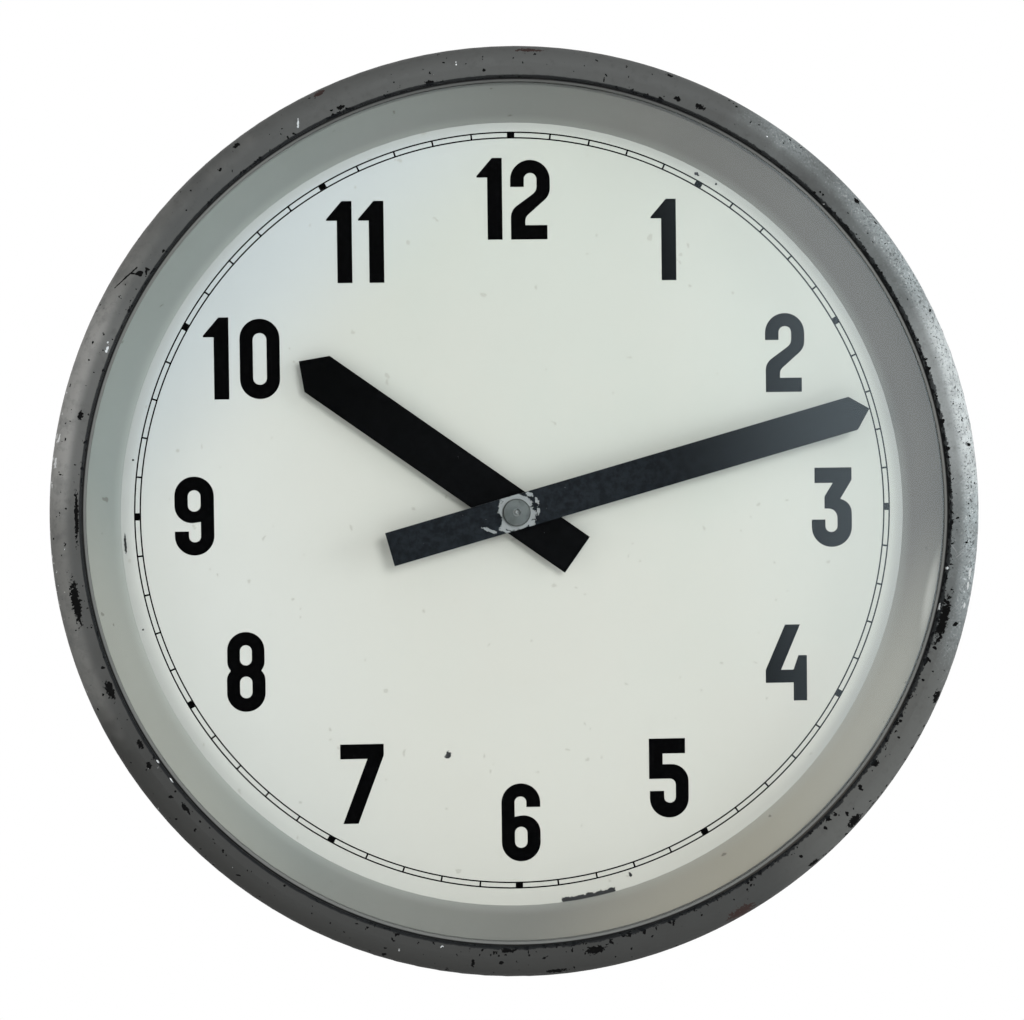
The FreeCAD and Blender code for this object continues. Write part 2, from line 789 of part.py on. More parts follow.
def motion_stud():
    top = pinion_front + SIDE_PLAY + 2 * CLIP
    section = [
        (0, plate_front),
        (MOTION_STUD, plate_front),
        (MOTION_STUD, motion_floor),
        (MOTION_COLLAR, motion_floor),
        (MOTION_COLLAR, motion_back - PINION_OVERLAP / 2),
        (MOTION_STUD, motion_back - PINION_OVERLAP / 2),
        (MOTION_STUD, top),
        (0, top),
    ]
    return moved_to(spun(section), motion_axis)


def motion_clip():
    back = pinion_front + SIDE_PLAY
    return tube(MOTION_COLLAR, MOTION_STUD, back, back + CLIP, motion_axis)


def hour_wheel():
    gap = MOTION_DIRECTION + math.pi / HOUR_TEETH
    return gear(HOUR_TEETH, hour_module, hour_pipe_radius, hour_wheel_back, hour_wheel_back + WHEEL, gap)


def hour_pipe():
    return tube(hour_pipe_radius, CANNON_TUBE + RUNNING_FIT, hour_wheel_back, hour_hand_front + BUSH_STAND)


def hour_hand():
    spigot = hour_collet_radius - COLLET_SPIGOT
    return hand(HOUR_WIDTH, hour_tip, HOUR_TAIL, spigot, hour_hand_back, HOUR_ANGLE)


def hour_hand_collet():
    spigot = hour_collet_radius - COLLET_SPIGOT
    section = [
        (hour_pipe_radius, hour_hand_back - HOUR_COLLET_LENGTH),
        (hour_collet_radius, hour_hand_back - HOUR_COLLET_LENGTH),
        (hour_collet_radius, hour_hand_back),
        (spigot, hour_hand_back),
        (spigot, hour_hand_front),
        (hour_pipe_radius, hour_hand_front),
    ]
    return spun(section)


# Electromagnet: two coils on iron cores that stand on the yoke
def upright(shape, x):
    """Shape drawn on the clock's axis, stood up along y over the yoke."""
    return shape.rotated(ORIGIN, Vector(1, 0, 0), -90).translated(Vector(x, yoke_top, middle))


def both_coils(shape):
    return group([upright(shape, -COIL_X), upright(shape, COIL_X)])


def magnet_yoke():
    bar = block(-YOKE_HALF, YOKE_HALF, yoke_top - YOKE_HEIGHT, yoke_top, iron_back, iron_front)
    room = YOKE_SCREW + YOKE_SCREW_ROOM
    return bar.cut(group([rod(room, iron_back, iron_front, place) for place in yoke_screw_places()]))


def yoke_spacers():
    back = plate_back + PLATE
    room = YOKE_SCREW + YOKE_SCREW_ROOM
    return group([tube(YOKE_HEIGHT / 2, room, back, iron_back, place) for place in yoke_screw_places()])


def yoke_screws():
    return group([pan_screw(YOKE_SCREW, plate_back, iron_front, place) for place in yoke_screw_places()])


def coil_bobbin():
    low = BOBBIN_END
    high = CORE_LENGTH - BOBBIN_END
    drum = CORE + BOBBIN_WALL
    section = [
        (CORE, low),
        (BOBBIN, low),
        (BOBBIN, low + BOBBIN_FLANGE),
        (drum, low + BOBBIN_FLANGE),
        (drum, high - BOBBIN_FLANGE),
        (BOBBIN, high - BOBBIN_FLANGE),
        (BOBBIN, high),
        (CORE, high),
    ]
    return spun(section)


def coil_winding():
    low = BOBBIN_END + BOBBIN_FLANGE
    return tube(BOBBIN - BOBBIN_LIP, CORE + BOBBIN_WALL, low, CORE_LENGTH - low)


# Armature: iron bar above the poles, hinged at its right end
def armature():
    room = ARBOR + RUNNING_FIT
    back = plate_back + PLATE + ARMATURE_HUB_PLAY
    front = plate_front - ARMATURE_HUB_PLAY
    bar = block(armature_left, ARMATURE_PIVOT_X, armature_bottom, armature_top, iron_back, iron_front)
    tab = block(tab_end, armature_left, armature_bottom, armature_top, tab_back, tab_back + TAB_SHEET)
    body = bar.fuse(tab).fuse(rod(ARMATURE_HUB, back, front, armature_pivot))
    body = body.cut(rod(room, back, front, armature_pivot))
    body = body.cut(rod(PAWL_STUD, tab_back, tab_back + TAB_SHEET, drive_pivot))
    for x in SPRING_RIVETS:
        body = body.cut(spring_rivet_shank(x))
    return body.removeSplitter()


def armature_arbor():
    return rod(ARBOR, plate_back, motion_floor, armature_pivot)


def post(place, radius):
    return rod(radius, plate_back + PLATE, iron_front, place)


def return_spring():
    half = RETURN_SPRING_WIDTH / 2
    left, right = RETURN_SPRING_ENDS
    top = armature_top + RETURN_SPRING
    leaf = block(left, right, armature_top, top, middle - half, middle + half)
    for x in SPRING_RIVETS:
        leaf = leaf.cut(spring_rivet_shank(x))
    return leaf


def spring_rivet_shank(x):
    base = Vector(x, armature_top - ARMATURE_SHEET / 2, middle)
    return Part.makeCylinder(SPRING_RIVET, ARMATURE_SHEET / 2 + RETURN_SPRING, base, Vector(0, 1, 0))


def spring_rivets():
    seat = armature_top + RETURN_SPRING
    rivets = []
    for x in SPRING_RIVETS:
        foot = Vector(x, seat, middle)
        head = Part.makeCone(1.7 * SPRING_RIVET, SPRING_RIVET, SPRING_RIVET, foot, Vector(0, 1, 0))
        rivets.append(head.fuse(spring_rivet_shank(x)).removeSplitter())
    return group(rivets)


# Pawls: levers drawn along the line from pivot to nose, the wheel on their right
def pawl_frame(pivot, nose_angle):
    reach = RATCHET_TIP + PAWL_CLEARANCE
    nose = Vector(reach * math.cos(nose_angle), reach * math.sin(nose_angle), 0)
    start = Vector(pivot[0], pivot[1], 0)
    along = nose - start
    length = along.Length
    along.normalize()
    return start, along, Vector(-along.y, along.x, 0), length


def pawl(pivot, nose_angle):
    start, along, left, length = pawl_frame(pivot, nose_angle)
    neck = length - PAWL_NOSE
    drawn = [
        (0, -PAWL_ARM / 2),
        (neck, PAWL_ARM / 5),
        (length, 0),
        (length - PAWL_NOSE / 6, PAWL_ARM * 0.7),
        (neck, PAWL_ARM),
        (0, PAWL_ARM * 0.6),
    ]
    corners = [start + along * s + left * t for s, t in drawn]
    front = ratchet_back + WHEEL
    arm = prism([(corner.x, corner.y) for corner in corners], ratchet_back, front)
    arm = arm.fuse(rod(PAWL_HUB, ratchet_back, front, pivot))
    return arm.cut(rod(PAWL_STUD + RUNNING_FIT, ratchet_back, front, pivot)).removeSplitter()


def pawl_stud(base, seat, place):
    """Stud with a shoulder behind its pawl and a head in front of it."""
    play = SIDE_PLAY / 3
    head = ratchet_back + WHEEL + play
    section = [
        (0, base),
        (PAWL_STUD, base),
        (PAWL_STUD, seat),
        (PAWL_STUD_HEAD, seat),
        (PAWL_STUD_HEAD, ratchet_back - play),
        (PAWL_STUD, ratchet_back - play),
        (PAWL_STUD, head),
        (PAWL_STUD_HEAD, head),
        (PAWL_STUD_HEAD, head + SIDE_PLAY),
        (0, head + SIDE_PLAY),
    ]
    return moved_to(spun(section), place)


def pawl_spring():
    """Leaf from the armature's tab along the back of the drive pawl."""
    start, along, left, length = pawl_frame(drive_pivot, DRIVE_NOSE_ANGLE)
    tab = tab_back + TAB_SHEET
    foot = Vector(tab_end, armature_bottom, 0)
    knee = Vector(tab_end, armature_top, 0)
    touch = start + along * (length - PAWL_NOSE) + left * (PAWL_ARM + PAWL_SPRING_GAP + PAWL_SPRING)
    side = (touch - knee).normalize()
    thick = Vector(side.y, -side.x, 0) * PAWL_SPRING
    stem = Vector(2 * PAWL_SPRING, 0, 0)
    corners = [foot, foot + stem, knee + stem, touch + thick, touch, knee]
    return prism([(corner.x, corner.y) for corner in corners], tab, ratchet_back + WHEEL)


# Terminal block, its screws and the leads from the coils
def terminal_places():
    return [(terminal_pitch * i, terminal_y) for i in (-1, 0, 1)]


def terminal_fixing_places():
    """Middles of the two end lands, between the outer ribs and the ends of the block."""
    across = (TERMINAL_SIZE[0] - TERMINAL_END) / 2
    return [(-across, terminal_y), (across, terminal_y)]


def terminal_block():
    length, width, height = TERMINAL_SIZE
    floor = CASE_SHEET + height - TERMINAL_STEP
    top = CASE_SHEET + height
    low = terminal_y - width / 2
    high = terminal_y + width / 2
    body = block(-length / 2, length / 2, low, high, CASE_SHEET, floor)
    for i in (-1.5, -0.5, 0.5, 1.5):
        x = terminal_pitch * i
        body = body.fuse(block(x - TERMINAL_RIB / 2, x + TERMINAL_RIB / 2, low, high, floor, top))
    holes = [rod(TERMINAL_SCREW, floor - TERMINAL_STEP, floor, place) for place in terminal_places()]
    holes += [rod(TERMINAL_SCREW, CASE_SHEET, floor, place) for place in terminal_fixing_places()]
    return body.cut(group(holes)).removeSplitter()


def terminal_screws():
    floor = CASE_SHEET + TERMINAL_SIZE[2] - TERMINAL_STEP
    tip = floor - TERMINAL_STEP
    return group([pan_screw(TERMINAL_SCREW, tip, floor, place) for place in terminal_places()])


def terminal_fixing_screws():
    floor = CASE_SHEET + TERMINAL_SIZE[2] - TERMINAL_STEP
    return group([pan_screw(TERMINAL_SCREW, 0, floor, place) for place in terminal_fixing_places()])


def coil_lead(side):
    """Insulated wire from a bobbin's lower flange to its terminal."""
    floor = CASE_SHEET + TERMINAL_SIZE[2] - TERMINAL_STEP
    level = iron_front + LEAD + LEAD_ROOM
    landing = floor + LEAD
    screw_edge = terminal_y + SCREW_HEAD * TERMINAL_SCREW / PILLAR_THREAD
    start = yoke_top + BOBBIN_END
    turn = PLATE_BOTTOM - LEAD_BEND
    path = rounded_path([
        Vector(side * COIL_X, start, level),
        Vector(side * COIL_X, turn, level),
        Vector(side * terminal_pitch, turn - 2 * LEAD_BEND, landing),
        Vector(side * terminal_pitch, screw_edge + LEAD_ROOM, landing),
    ], LEAD_BEND)
    ring = Part.Wire(Part.makeCircle(LEAD, Vector(side * COIL_X, start, level), Vector(0, 1, 0)))
    return path.makePipeShell([ring], True, False)


def rounded_path(points, bend):
    """Open wire through the points, with every corner between its ends rounded."""
    edges = []
    start = points[0]
    for before, point, after in zip(points, points[1:], points[2:]):
        back = (before - point).normalize()
        on = (after - point).normalize()
        half = back.getAngle(on) / 2
        reach = bend / math.tan(half)
        inward = (back + on).normalize()
        nearest = point + inward * (bend / math.sin(half) - bend)
        edges.append(Part.LineSegment(start, point + back * reach).toShape())
        edges.append(Part.Arc(point + back * reach, nearest, point + on * reach).toShape())
        start = point + on * reach
    edges.append(Part.LineSegment(start, points[-1]).toShape())
    return Part.Wire(edges)


stop_post, spring_pin = [post(place, radius) for place, radius in post_places()]
bush_reach = PLATE + BUSH_STAND

pieces = {
    "case_shell": case_shell(),
    "hanger_plate": hanger_plate(),
    "hanger_rivets": hanger_rivets(),
    "cable_grommet": cable_grommet(),
    "bezel": bezel(),
    "bezel_screws": group(round_the_case(bezel_screw(), BEZEL_SCREWS)),
    "bezel_nut_blocks": group(round_the_case(nut_block(), BEZEL_SCREWS)),
    "glass": glass(),
    "glass_gasket": glass_gasket(),
    "reflector_ring": reflector_ring(),
    "dial": dial(),
    "dial_brackets": group(round_the_case(dial_bracket(), BRACKETS)),
    "dial_studs": group(round_the_case(dial_stud(), BRACKETS)),
    "dial_nuts": group(round_the_case(dial_nut(), BRACKETS)),
    "movement_standoffs": group([standoff(place) for place in pillar_places()]),
    "movement_back_plate": movement_back_plate(),
    "movement_pillars": group([pillar(place) for place in pillar_places()]),
    "movement_front_plate": movement_front_plate(),
    "pillar_screws": group([pillar_screw(place) for place in pillar_places()]),
    "rear_bush": bush(plate_back - BUSH_STAND, plate_back + bush_reach),
    "front_bush": bush(plate_front - BUSH_STAND, plate_front + PLATE),
    "centre_arbor": centre_arbor(),
    "ratchet_wheel": ratchet_wheel(),
    "ratchet_hub": ratchet_hub(),
    "cannon_pinion": cannon_pinion(),
    "minute_hand": minute_hand(),
    "minute_hand_collet": minute_hand_collet(),
    "motion_wheel": motion_wheel(),
    "motion_pinion": motion_pinion(),
    "motion_stud": motion_stud(),
    "motion_clip": motion_clip(),
    "hour_wheel": hour_wheel(),
    "hour_pipe": hour_pipe(),
    "hour_hand": hour_hand(),
    "hour_hand_collet": hour_hand_collet(),
    "magnet_yoke": magnet_yoke(),
    "magnet_cores": both_coils(rod(CORE, 0, CORE_LENGTH)),
    "coil_bobbins": both_coils(coil_bobbin()),
    "coil_windings": both_coils(coil_winding()),
    "yoke_spacers": yoke_spacers(),
    "yoke_screws": yoke_screws(),
    "armature": armature(),
    "armature_arbor": armature_arbor(),
    "armature_stop": stop_post,
    "return_spring": return_spring(),
    "spring_rivets": spring_rivets(),
    "spring_pin": spring_pin,
    "drive_pawl": pawl(drive_pivot, DRIVE_NOSE_ANGLE),
    "drive_pawl_stud": pawl_stud(tab_back, tab_back + TAB_SHEET, drive_pivot),
    "pawl_spring": pawl_spring(),
    "backstop_pawl": pawl(BACKSTOP_PIVOT, BACKSTOP_NOSE_ANGLE),
    "backstop_stud": pawl_stud(plate_back, plate_back + PLATE, BACKSTOP_PIVOT),
    "terminal_block": terminal_block(),
    "terminal_screws": terminal_screws(),
    "terminal_fixing_screws": terminal_fixing_screws(),
    "coil_leads": group([coil_lead(-1), coil_lead(1)]),
}

os.makedirs("parts", exist_ok=True)
for name, shape in pieces.items():
    upright_shape = shape.rotated(ORIGIN, Vector(1, 0, 0), 90)
    upright_shape.exportStep("parts/" + name + ".step")
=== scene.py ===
# %% [markdown]
# # Dressing a factory wall clock
# The clock arrives as a finished CAD frame: case, bezel, glass, dial, hands and a whole impulse movement.
# This lesson adds what a CAD model doesn't carry: the printing on the dial, the paints and metals
# with their wear, a camera and soft studio light. Everything is in metres: x runs to the right,
# z up, and the dial faces the viewer along -y.

# %% Load the frame and measure it
import bpy
import json
import math
from mathutils import Matrix, Vector

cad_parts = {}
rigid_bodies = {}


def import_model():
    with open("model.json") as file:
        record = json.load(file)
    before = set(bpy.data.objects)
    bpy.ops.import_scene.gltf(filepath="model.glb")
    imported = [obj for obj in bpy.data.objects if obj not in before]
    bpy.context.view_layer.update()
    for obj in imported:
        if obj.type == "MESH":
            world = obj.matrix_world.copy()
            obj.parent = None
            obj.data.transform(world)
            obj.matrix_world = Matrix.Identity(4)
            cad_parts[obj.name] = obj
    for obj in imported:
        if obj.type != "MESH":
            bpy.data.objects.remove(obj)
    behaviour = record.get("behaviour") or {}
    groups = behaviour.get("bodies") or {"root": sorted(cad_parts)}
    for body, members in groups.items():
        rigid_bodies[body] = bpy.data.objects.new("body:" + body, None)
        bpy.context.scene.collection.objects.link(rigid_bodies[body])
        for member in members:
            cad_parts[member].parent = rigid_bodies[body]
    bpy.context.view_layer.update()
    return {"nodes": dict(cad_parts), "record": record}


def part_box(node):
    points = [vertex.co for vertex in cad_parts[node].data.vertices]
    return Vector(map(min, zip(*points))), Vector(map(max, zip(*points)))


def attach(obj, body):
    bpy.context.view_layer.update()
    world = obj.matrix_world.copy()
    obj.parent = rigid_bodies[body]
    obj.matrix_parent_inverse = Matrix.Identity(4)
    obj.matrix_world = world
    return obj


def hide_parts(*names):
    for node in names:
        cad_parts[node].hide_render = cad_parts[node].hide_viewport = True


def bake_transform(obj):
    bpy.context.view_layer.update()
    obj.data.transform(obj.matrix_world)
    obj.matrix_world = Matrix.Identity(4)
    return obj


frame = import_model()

nodes = frame["nodes"]
mm = 0.001
tiny = mm / 1000
full_turn = 2 * math.pi
dial_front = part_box("dial")[0].y
print("nodes", len(nodes), "dial front at", round(dial_front / mm, 2), "mm")

# %% [markdown]
# ## Drawing flat shapes in edit mode
# Printing on a dial is a flat outline filled with paint. In edit mode such an outline can be drawn like
# a pen line: one vertex is extruded along the straight runs and spun round the bends, and Fill closes the
# loop, also where a second loop inside leaves a hole. A font would be quicker, but these numerals were
# drawn with a ruler and a compass, and corners with named radii follow them closely.

# %% Helpers for edit mode
def begin_piece(name):
    """Opens a new mesh in edit mode that holds one vertex at the dial's middle."""
    bpy.ops.object.select_all(action="DESELECT")
    bpy.ops.mesh.primitive_plane_add(size=mm, location=(0, 0, 0))
    piece = bpy.context.object
    piece.name = name
    piece.data.name = name
    bpy.ops.object.mode_set(mode="EDIT")
    bpy.ops.mesh.select_mode(type="VERT")
    bpy.ops.mesh.select_all(action="SELECT")
    bpy.ops.mesh.merge(type="CENTER")
    return piece


def start_new_line():
    """Leaves the outline drawn so far and sets down a fresh vertex at the dial's middle."""
    bpy.ops.mesh.select_all(action="DESELECT")
    bpy.ops.mesh.primitive_plane_add(size=mm, location=(0, 0, 0))
    bpy.ops.mesh.merge(type="CENTER")


def move_pen(across, up):
    bpy.ops.mesh.extrude_region_move(TRANSFORM_OT_translate={"value": (across, 0, up)})


def merge_doubles():
    bpy.ops.mesh.select_all(action="SELECT")
    bpy.ops.mesh.remove_doubles(threshold=tiny)


paint_film = 0.06 * mm
paint_sink = 0.02 * mm


def end_printing(piece):
    """Makes flat faces a film of paint, keyed into the enamel, and lets it ride on the case."""
    merge_doubles()
    bpy.ops.transform.translate(value=(0, dial_front + paint_sink, 0))
    bpy.ops.mesh.extrude_region_move(TRANSFORM_OT_translate={"value": (0, -paint_film, 0)})
    bpy.ops.mesh.select_all(action="SELECT")
    bpy.ops.mesh.normals_make_consistent(inside=False)
    bpy.ops.object.mode_set(mode="OBJECT")
    bpy.ops.object.shade_flat()
    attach(piece, "case")
    return piece


print("paint film", round(paint_film / mm, 2), "mm thick")

# %% A pen that rounds corners
bend_step = math.radians(9)


def turn(direction, start, end, middle):
    """Spins the pen from start to end round a middle; direction is 1 or -1 seen from the front."""
    first = (start - middle).normalized()
    last = (end - middle).normalized()
    angle = math.acos(max(-1, min(1, first.dot(last))))
    bpy.ops.mesh.spin(
        steps=max(2, round(angle / bend_step)),
        angle=-direction * angle,
        center=(middle.x, 0, middle.y),
        axis=(0, 1, 0),
    )


def corner_bend(before, here, after, radius):
    """Start, end and middle of the arc that rounds a corner, and which way it turns."""
    back = (before - here).normalized()
    on = (after - here).normalized()
    half = back.angle(on) / 2
    reach = radius / math.tan(half)
    middle = here + (back + on).normalized() * radius / math.sin(half)
    side = 1 if back.cross(on) > 0 else -1
    return here + back * reach, here + on * reach, middle, side


def draw_loop(corners, origin):
    """Draws a closed outline from (across, up) corners in millimetres; a third number rounds its corner."""
    points = [Vector(corner[:2]) * mm + origin for corner in corners]
    runs = []
    for i, corner in enumerate(corners):
        after = points[(i + 1) % len(points)]
        if len(corner) == 2:
            runs.append((points[i], points[i], None, 0))
        else:
            runs.append(corner_bend(points[i - 1], points[i], after, corner[2] * mm))
    pen = runs[0][0]
    bpy.ops.transform.translate(value=(pen.x, 0, pen.y))
    for i, (start, end, middle, side) in enumerate(runs):
        if middle is not None:
            turn(side, start, end, middle)
        following = runs[(i + 1) % len(runs)][0]
        step = following - end
        if step.length > tiny:
            move_pen(step.x, step.y)


print("bends in steps of", round(math.degrees(bend_step)), "degrees")

# %% [markdown]
# ## The twelve numerals
# Each digit is one outline of straight runs and arcs, 39 mm high with a stroke of about 7 mm. The 6 and
# the 9 are one shape turned over. The zero, the six, the eight and the nine have loops inside, which Fill
# leaves open. The digits stand on the dial at their hours, each on a circle round the arbor.

# %% Outlines of the digits, in millimetres from their lower left corner
six_wide = 19.2
six_high = 38.6
zero_high = 39.2

one = [[(5.2, 0), (12.5, 0), (12.5, 40), (7.6, 40), (0, 31.2), (0, 30.4), (5.2, 30.4)]]
two = [[
    (0.2, 0), (18.1, 0), (18.1, 7), (7.3, 7), (7.3, 10.9, 4), (19.5, 21.6, 7.5), (19.5, 38.9, 9.7),
    (0, 38.9, 9.7), (0, 25.7), (6.7, 25.7), (6.7, 32.5, 3.1), (12.95, 32.5, 3.1), (12.95, 23.6, 4.5),
    (0.2, 14.4, 7),
]]
three = [[
    (1.5, 39.3), (20, 39.3), (20, 33.1), (14.3, 23.8), (20, 21.5, 7), (20, 0, 9.9), (0, 0, 9.9),
    (0, 13.6), (6.8, 13.6), (6.8, 7.4, 2.9), (12.8, 7.4, 2.9), (12.8, 19, 4.5), (6.4, 19), (6.4, 25),
    (10.6, 31.7), (1.5, 31.7),
]]
four = [[
    (13.9, 0), (20.6, 0), (20.6, 22.5), (16.4, 22.5), (13.9, 15.4), (7.7, 15.4), (17.3, 37.8), (9.8, 37.8),
    (0, 15.4), (0, 9), (13.9, 9),
]]
five = [[
    (0, 39.3), (18, 39.3), (18, 31.8), (6.8, 31.8), (6.8, 26.5), (19.6, 26.5, 8.5), (19.6, 0, 9.6),
    (0.3, 0, 9.6), (0.3, 13.3), (7.4, 13.3), (7.4, 7.4, 2.8), (13.2, 7.4, 2.8), (13.2, 19.3, 3), (0, 19.3),
]]
six = [
    [
        (six_wide, 26.8), (six_wide, six_high, 9.55), (0, six_high, 9.55), (0, 0, 9.55),
        (six_wide, 0, 9.55), (six_wide, 24.1, 8.4), (6.5, 22.2), (6.5, 32.1, 2.8), (12.3, 32.1, 2.8),
        (12.3, 26.8),
    ],
    [(6.5, 6.7, 3.05), (12.7, 6.7, 3.05), (12.7, 17.1, 3.05), (6.5, 17.1, 3.05)],
]
seven = [[(0, 39.2), (21.4, 39.2), (21.4, 33.6), (8.6, 0), (1.1, 0), (13.3, 31.9), (0, 31.9)]]
eight = [
    [
        (0, 0, 9.35), (18.8, 0, 9.35), (18.8, 17.6, 6), (16.9, 20.2), (18.5, 22.8, 6), (18.5, 39.2, 9),
        (0.3, 39.2, 9), (0.3, 22.8, 6), (1.9, 20.2), (0, 17.6, 6),
    ],
    [(6.4, 6.7, 2.95), (12.4, 6.7, 2.95), (12.4, 17.3, 2.95), (6.4, 17.3, 2.95)],
    [(6.5, 22.8, 2.9), (12.3, 22.8, 2.9), (12.3, 32.7, 2.9), (6.5, 32.7, 2.9)],
]
nine = [[(six_wide - c[0], six_high - c[1]) + tuple(c[2:]) for c in loop] for loop in six]
zero = [
    [(0, 0, 9.7), (19.5, 0, 9.7), (19.5, zero_high, 9.7), (0, zero_high, 9.7)],
    [(6.4, 7, 3.3), (13.1, 7, 3.3), (13.1, 32.2, 3.3), (6.4, 32.2, 3.3)],
]
print("outlines of ten digits")

# %% Draw each numeral at its hour
# The numerals stand a little beside their circle: nudges are their steps to the right, in millimetres.
numeral_circle = 153.5
hours = 12
hour_degrees = 30
nudges = {1: -2, 2: 1.5, 3: 3.7, 4: 0.9, 5: -2, 6: 1.2, 9: -3.5, 12: 1}
numerals = {
    1: [(one, 0)], 2: [(two, 0)], 3: [(three, 0)], 4: [(four, 0)], 5: [(five, 0)], 6: [(six, 0)],
    7: [(seven, 0)], 8: [(eight, 0)], 9: [(nine, 0)], 10: [(one, 0), (zero, 17.8)],
    11: [(one, 0), (one, 15.6)], 12: [(one, 0), (two, 16.5)],
}


def middle_of(digits):
    """Middle of a numeral's own box, in millimetres."""
    corners = [(c[0] + shift, c[1]) for digit, shift in digits for loop in digit for c in loop]
    across = [c[0] for c in corners]
    up = [c[1] for c in corners]
    return Vector(((min(across) + max(across)) / 2, (min(up) + max(up)) / 2))


def draw_numeral(hour, digits):
    angle = math.radians(hour_degrees * hour)
    place = Vector((math.sin(angle), math.cos(angle))) * numeral_circle
    corner = place + Vector((nudges.get(hour, 0), 0)) - middle_of(digits)
    piece = begin_piece(f"numeral_{hour}")
    loops = [(loop, shift) for digit, shift in digits for loop in digit]
    for i, (loop, shift) in enumerate(loops):
        if i > 0:
            start_new_line()
        draw_loop(loop, (corner + Vector((shift, 0))) * mm)
    merge_doubles()
    bpy.ops.mesh.fill(use_beauty=True)
    return end_printing(piece)


printing = [draw_numeral(hour, digits) for hour, digits in numerals.items()]
print("numerals", len(printing), "faces", sum(len(piece.data.polygons) for piece in printing))

# %% [markdown]
# ## The minute track
# Two thin circles with a tick for every minute and a solid block for every hour. Spin makes all of it:
# a short edge swept through a full turn is a ring, and with Dupli on, Spin copies one tick or block
# round the dial. The ticks end on the circles, so no two faces lie in the same place.

# %% Rings, ticks and hour blocks
track_outer = 186.3 * mm
track_inner = 182.9 * mm
line_wide = 0.7 * mm
tick_wide = 0.85 * mm
block_wide = 3.6 * mm
ring_steps = 240
minute_degrees = 6


def sweep_ring(low, high):
    """A flat ring: an edge between two radii spun through a full turn."""
    bpy.ops.transform.translate(value=(0, 0, low))
    move_pen(0, high - low)
    bpy.ops.mesh.select_linked()
    bpy.ops.mesh.spin(steps=ring_steps, angle=full_turn, center=(0, 0, 0), axis=(0, 1, 0))


def copy_bars(wide, low, high, first, count):
    """A radial bar at the top of the dial, turned to its first place and copied round the dial."""
    bpy.ops.transform.translate(value=(-wide / 2, 0, low))
    move_pen(wide, 0)
    bpy.ops.mesh.select_linked()
    move_pen(0, high - low)
    bpy.ops.mesh.select_linked()
    bpy.ops.transform.rotate(value=first, orient_axis="Y", center_override=(0, 0, 0))
    bpy.ops.mesh.spin(steps=count, angle=full_turn, dupli=True, center=(0, 0, 0), axis=(0, 1, 0))


def draw_track():
    piece = begin_piece("minute_track")
    low = track_inner + line_wide
    high = track_outer - line_wide
    sweep_ring(high, track_outer)
    start_new_line()
    sweep_ring(track_inner, low)
    for minute in range(1, 5):
        start_new_line()
        copy_bars(tick_wide, low, high, math.radians(minute_degrees * minute), hours)
    start_new_line()
    copy_bars(block_wide, low, high, 0, hours)
    return end_printing(piece)


track = draw_track()
printing.append(track)
print("track faces", len(track.data.polygons))

# %% [markdown]
# ## Leaf springs cut into lengths
# Two leaf springs are held at one end and pressed at the other, so they bend when the armature rocks or the
# pawl lifts. A CAD node can't bend. Each leaf here is a copy of its node, cut across into short lengths with
# Bisect, and the node itself is hidden.

# %% Leaf springs cut into lengths
leaf_lengths = 16


def flexing_leaf(name, start, end):
    """A copy of a spring's node, cut across into short lengths from start to end."""
    leaf = bpy.data.objects.new(name + "_leaf", nodes[name].data.copy())
    bpy.context.scene.collection.objects.link(leaf)
    bpy.ops.object.select_all(action="DESELECT")
    leaf.select_set(True)
    bpy.context.view_layer.objects.active = leaf
    bpy.ops.object.mode_set(mode="EDIT")
    merge_doubles()
    along = (end - start).normalized()
    for i in range(1, leaf_lengths):
        bpy.ops.mesh.select_all(action="SELECT")
        cut = start.lerp(end, i / leaf_lengths)
        bpy.ops.mesh.bisect(plane_co=cut, plane_no=along, threshold=tiny)
    bpy.ops.object.mode_set(mode="OBJECT")
    bpy.ops.object.shade_flat()
    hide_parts(name)
    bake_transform(leaf)
    return leaf


leaf_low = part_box("return_spring")[0]
last_rivet = Vector((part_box("spring_rivets")[1].x, leaf_low.y, leaf_low.z))
pin_middle = sum(corner.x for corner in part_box("spring_pin")) / 2
beyond_pin = last_rivet + Vector((2 * (pin_middle - last_rivet.x), 0, 0))
pawl_low, pawl_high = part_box("pawl_spring")
knee = Vector((pawl_low.x, pawl_low.y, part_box("armature")[1].z))
tip = Vector((pawl_high.x, pawl_low.y, pawl_high.z))
springs = [
    flexing_leaf("return_spring", last_rivet, beyond_pin),
    flexing_leaf("pawl_spring", knee, tip),
]
print("springs", [(leaf.name, len(leaf.data.polygons)) for leaf in springs])

# %% [markdown]
# ## Building finishes from nodes
# A paint or a metal is never one flat colour. Each finish below starts from the Principled shader and adds
# what the real surface shows: soft blotches, fine grain in the roughness, chips along edges. The textures
# read Object coordinates, which are the clock's own metres, so a size in a finish is a real size.

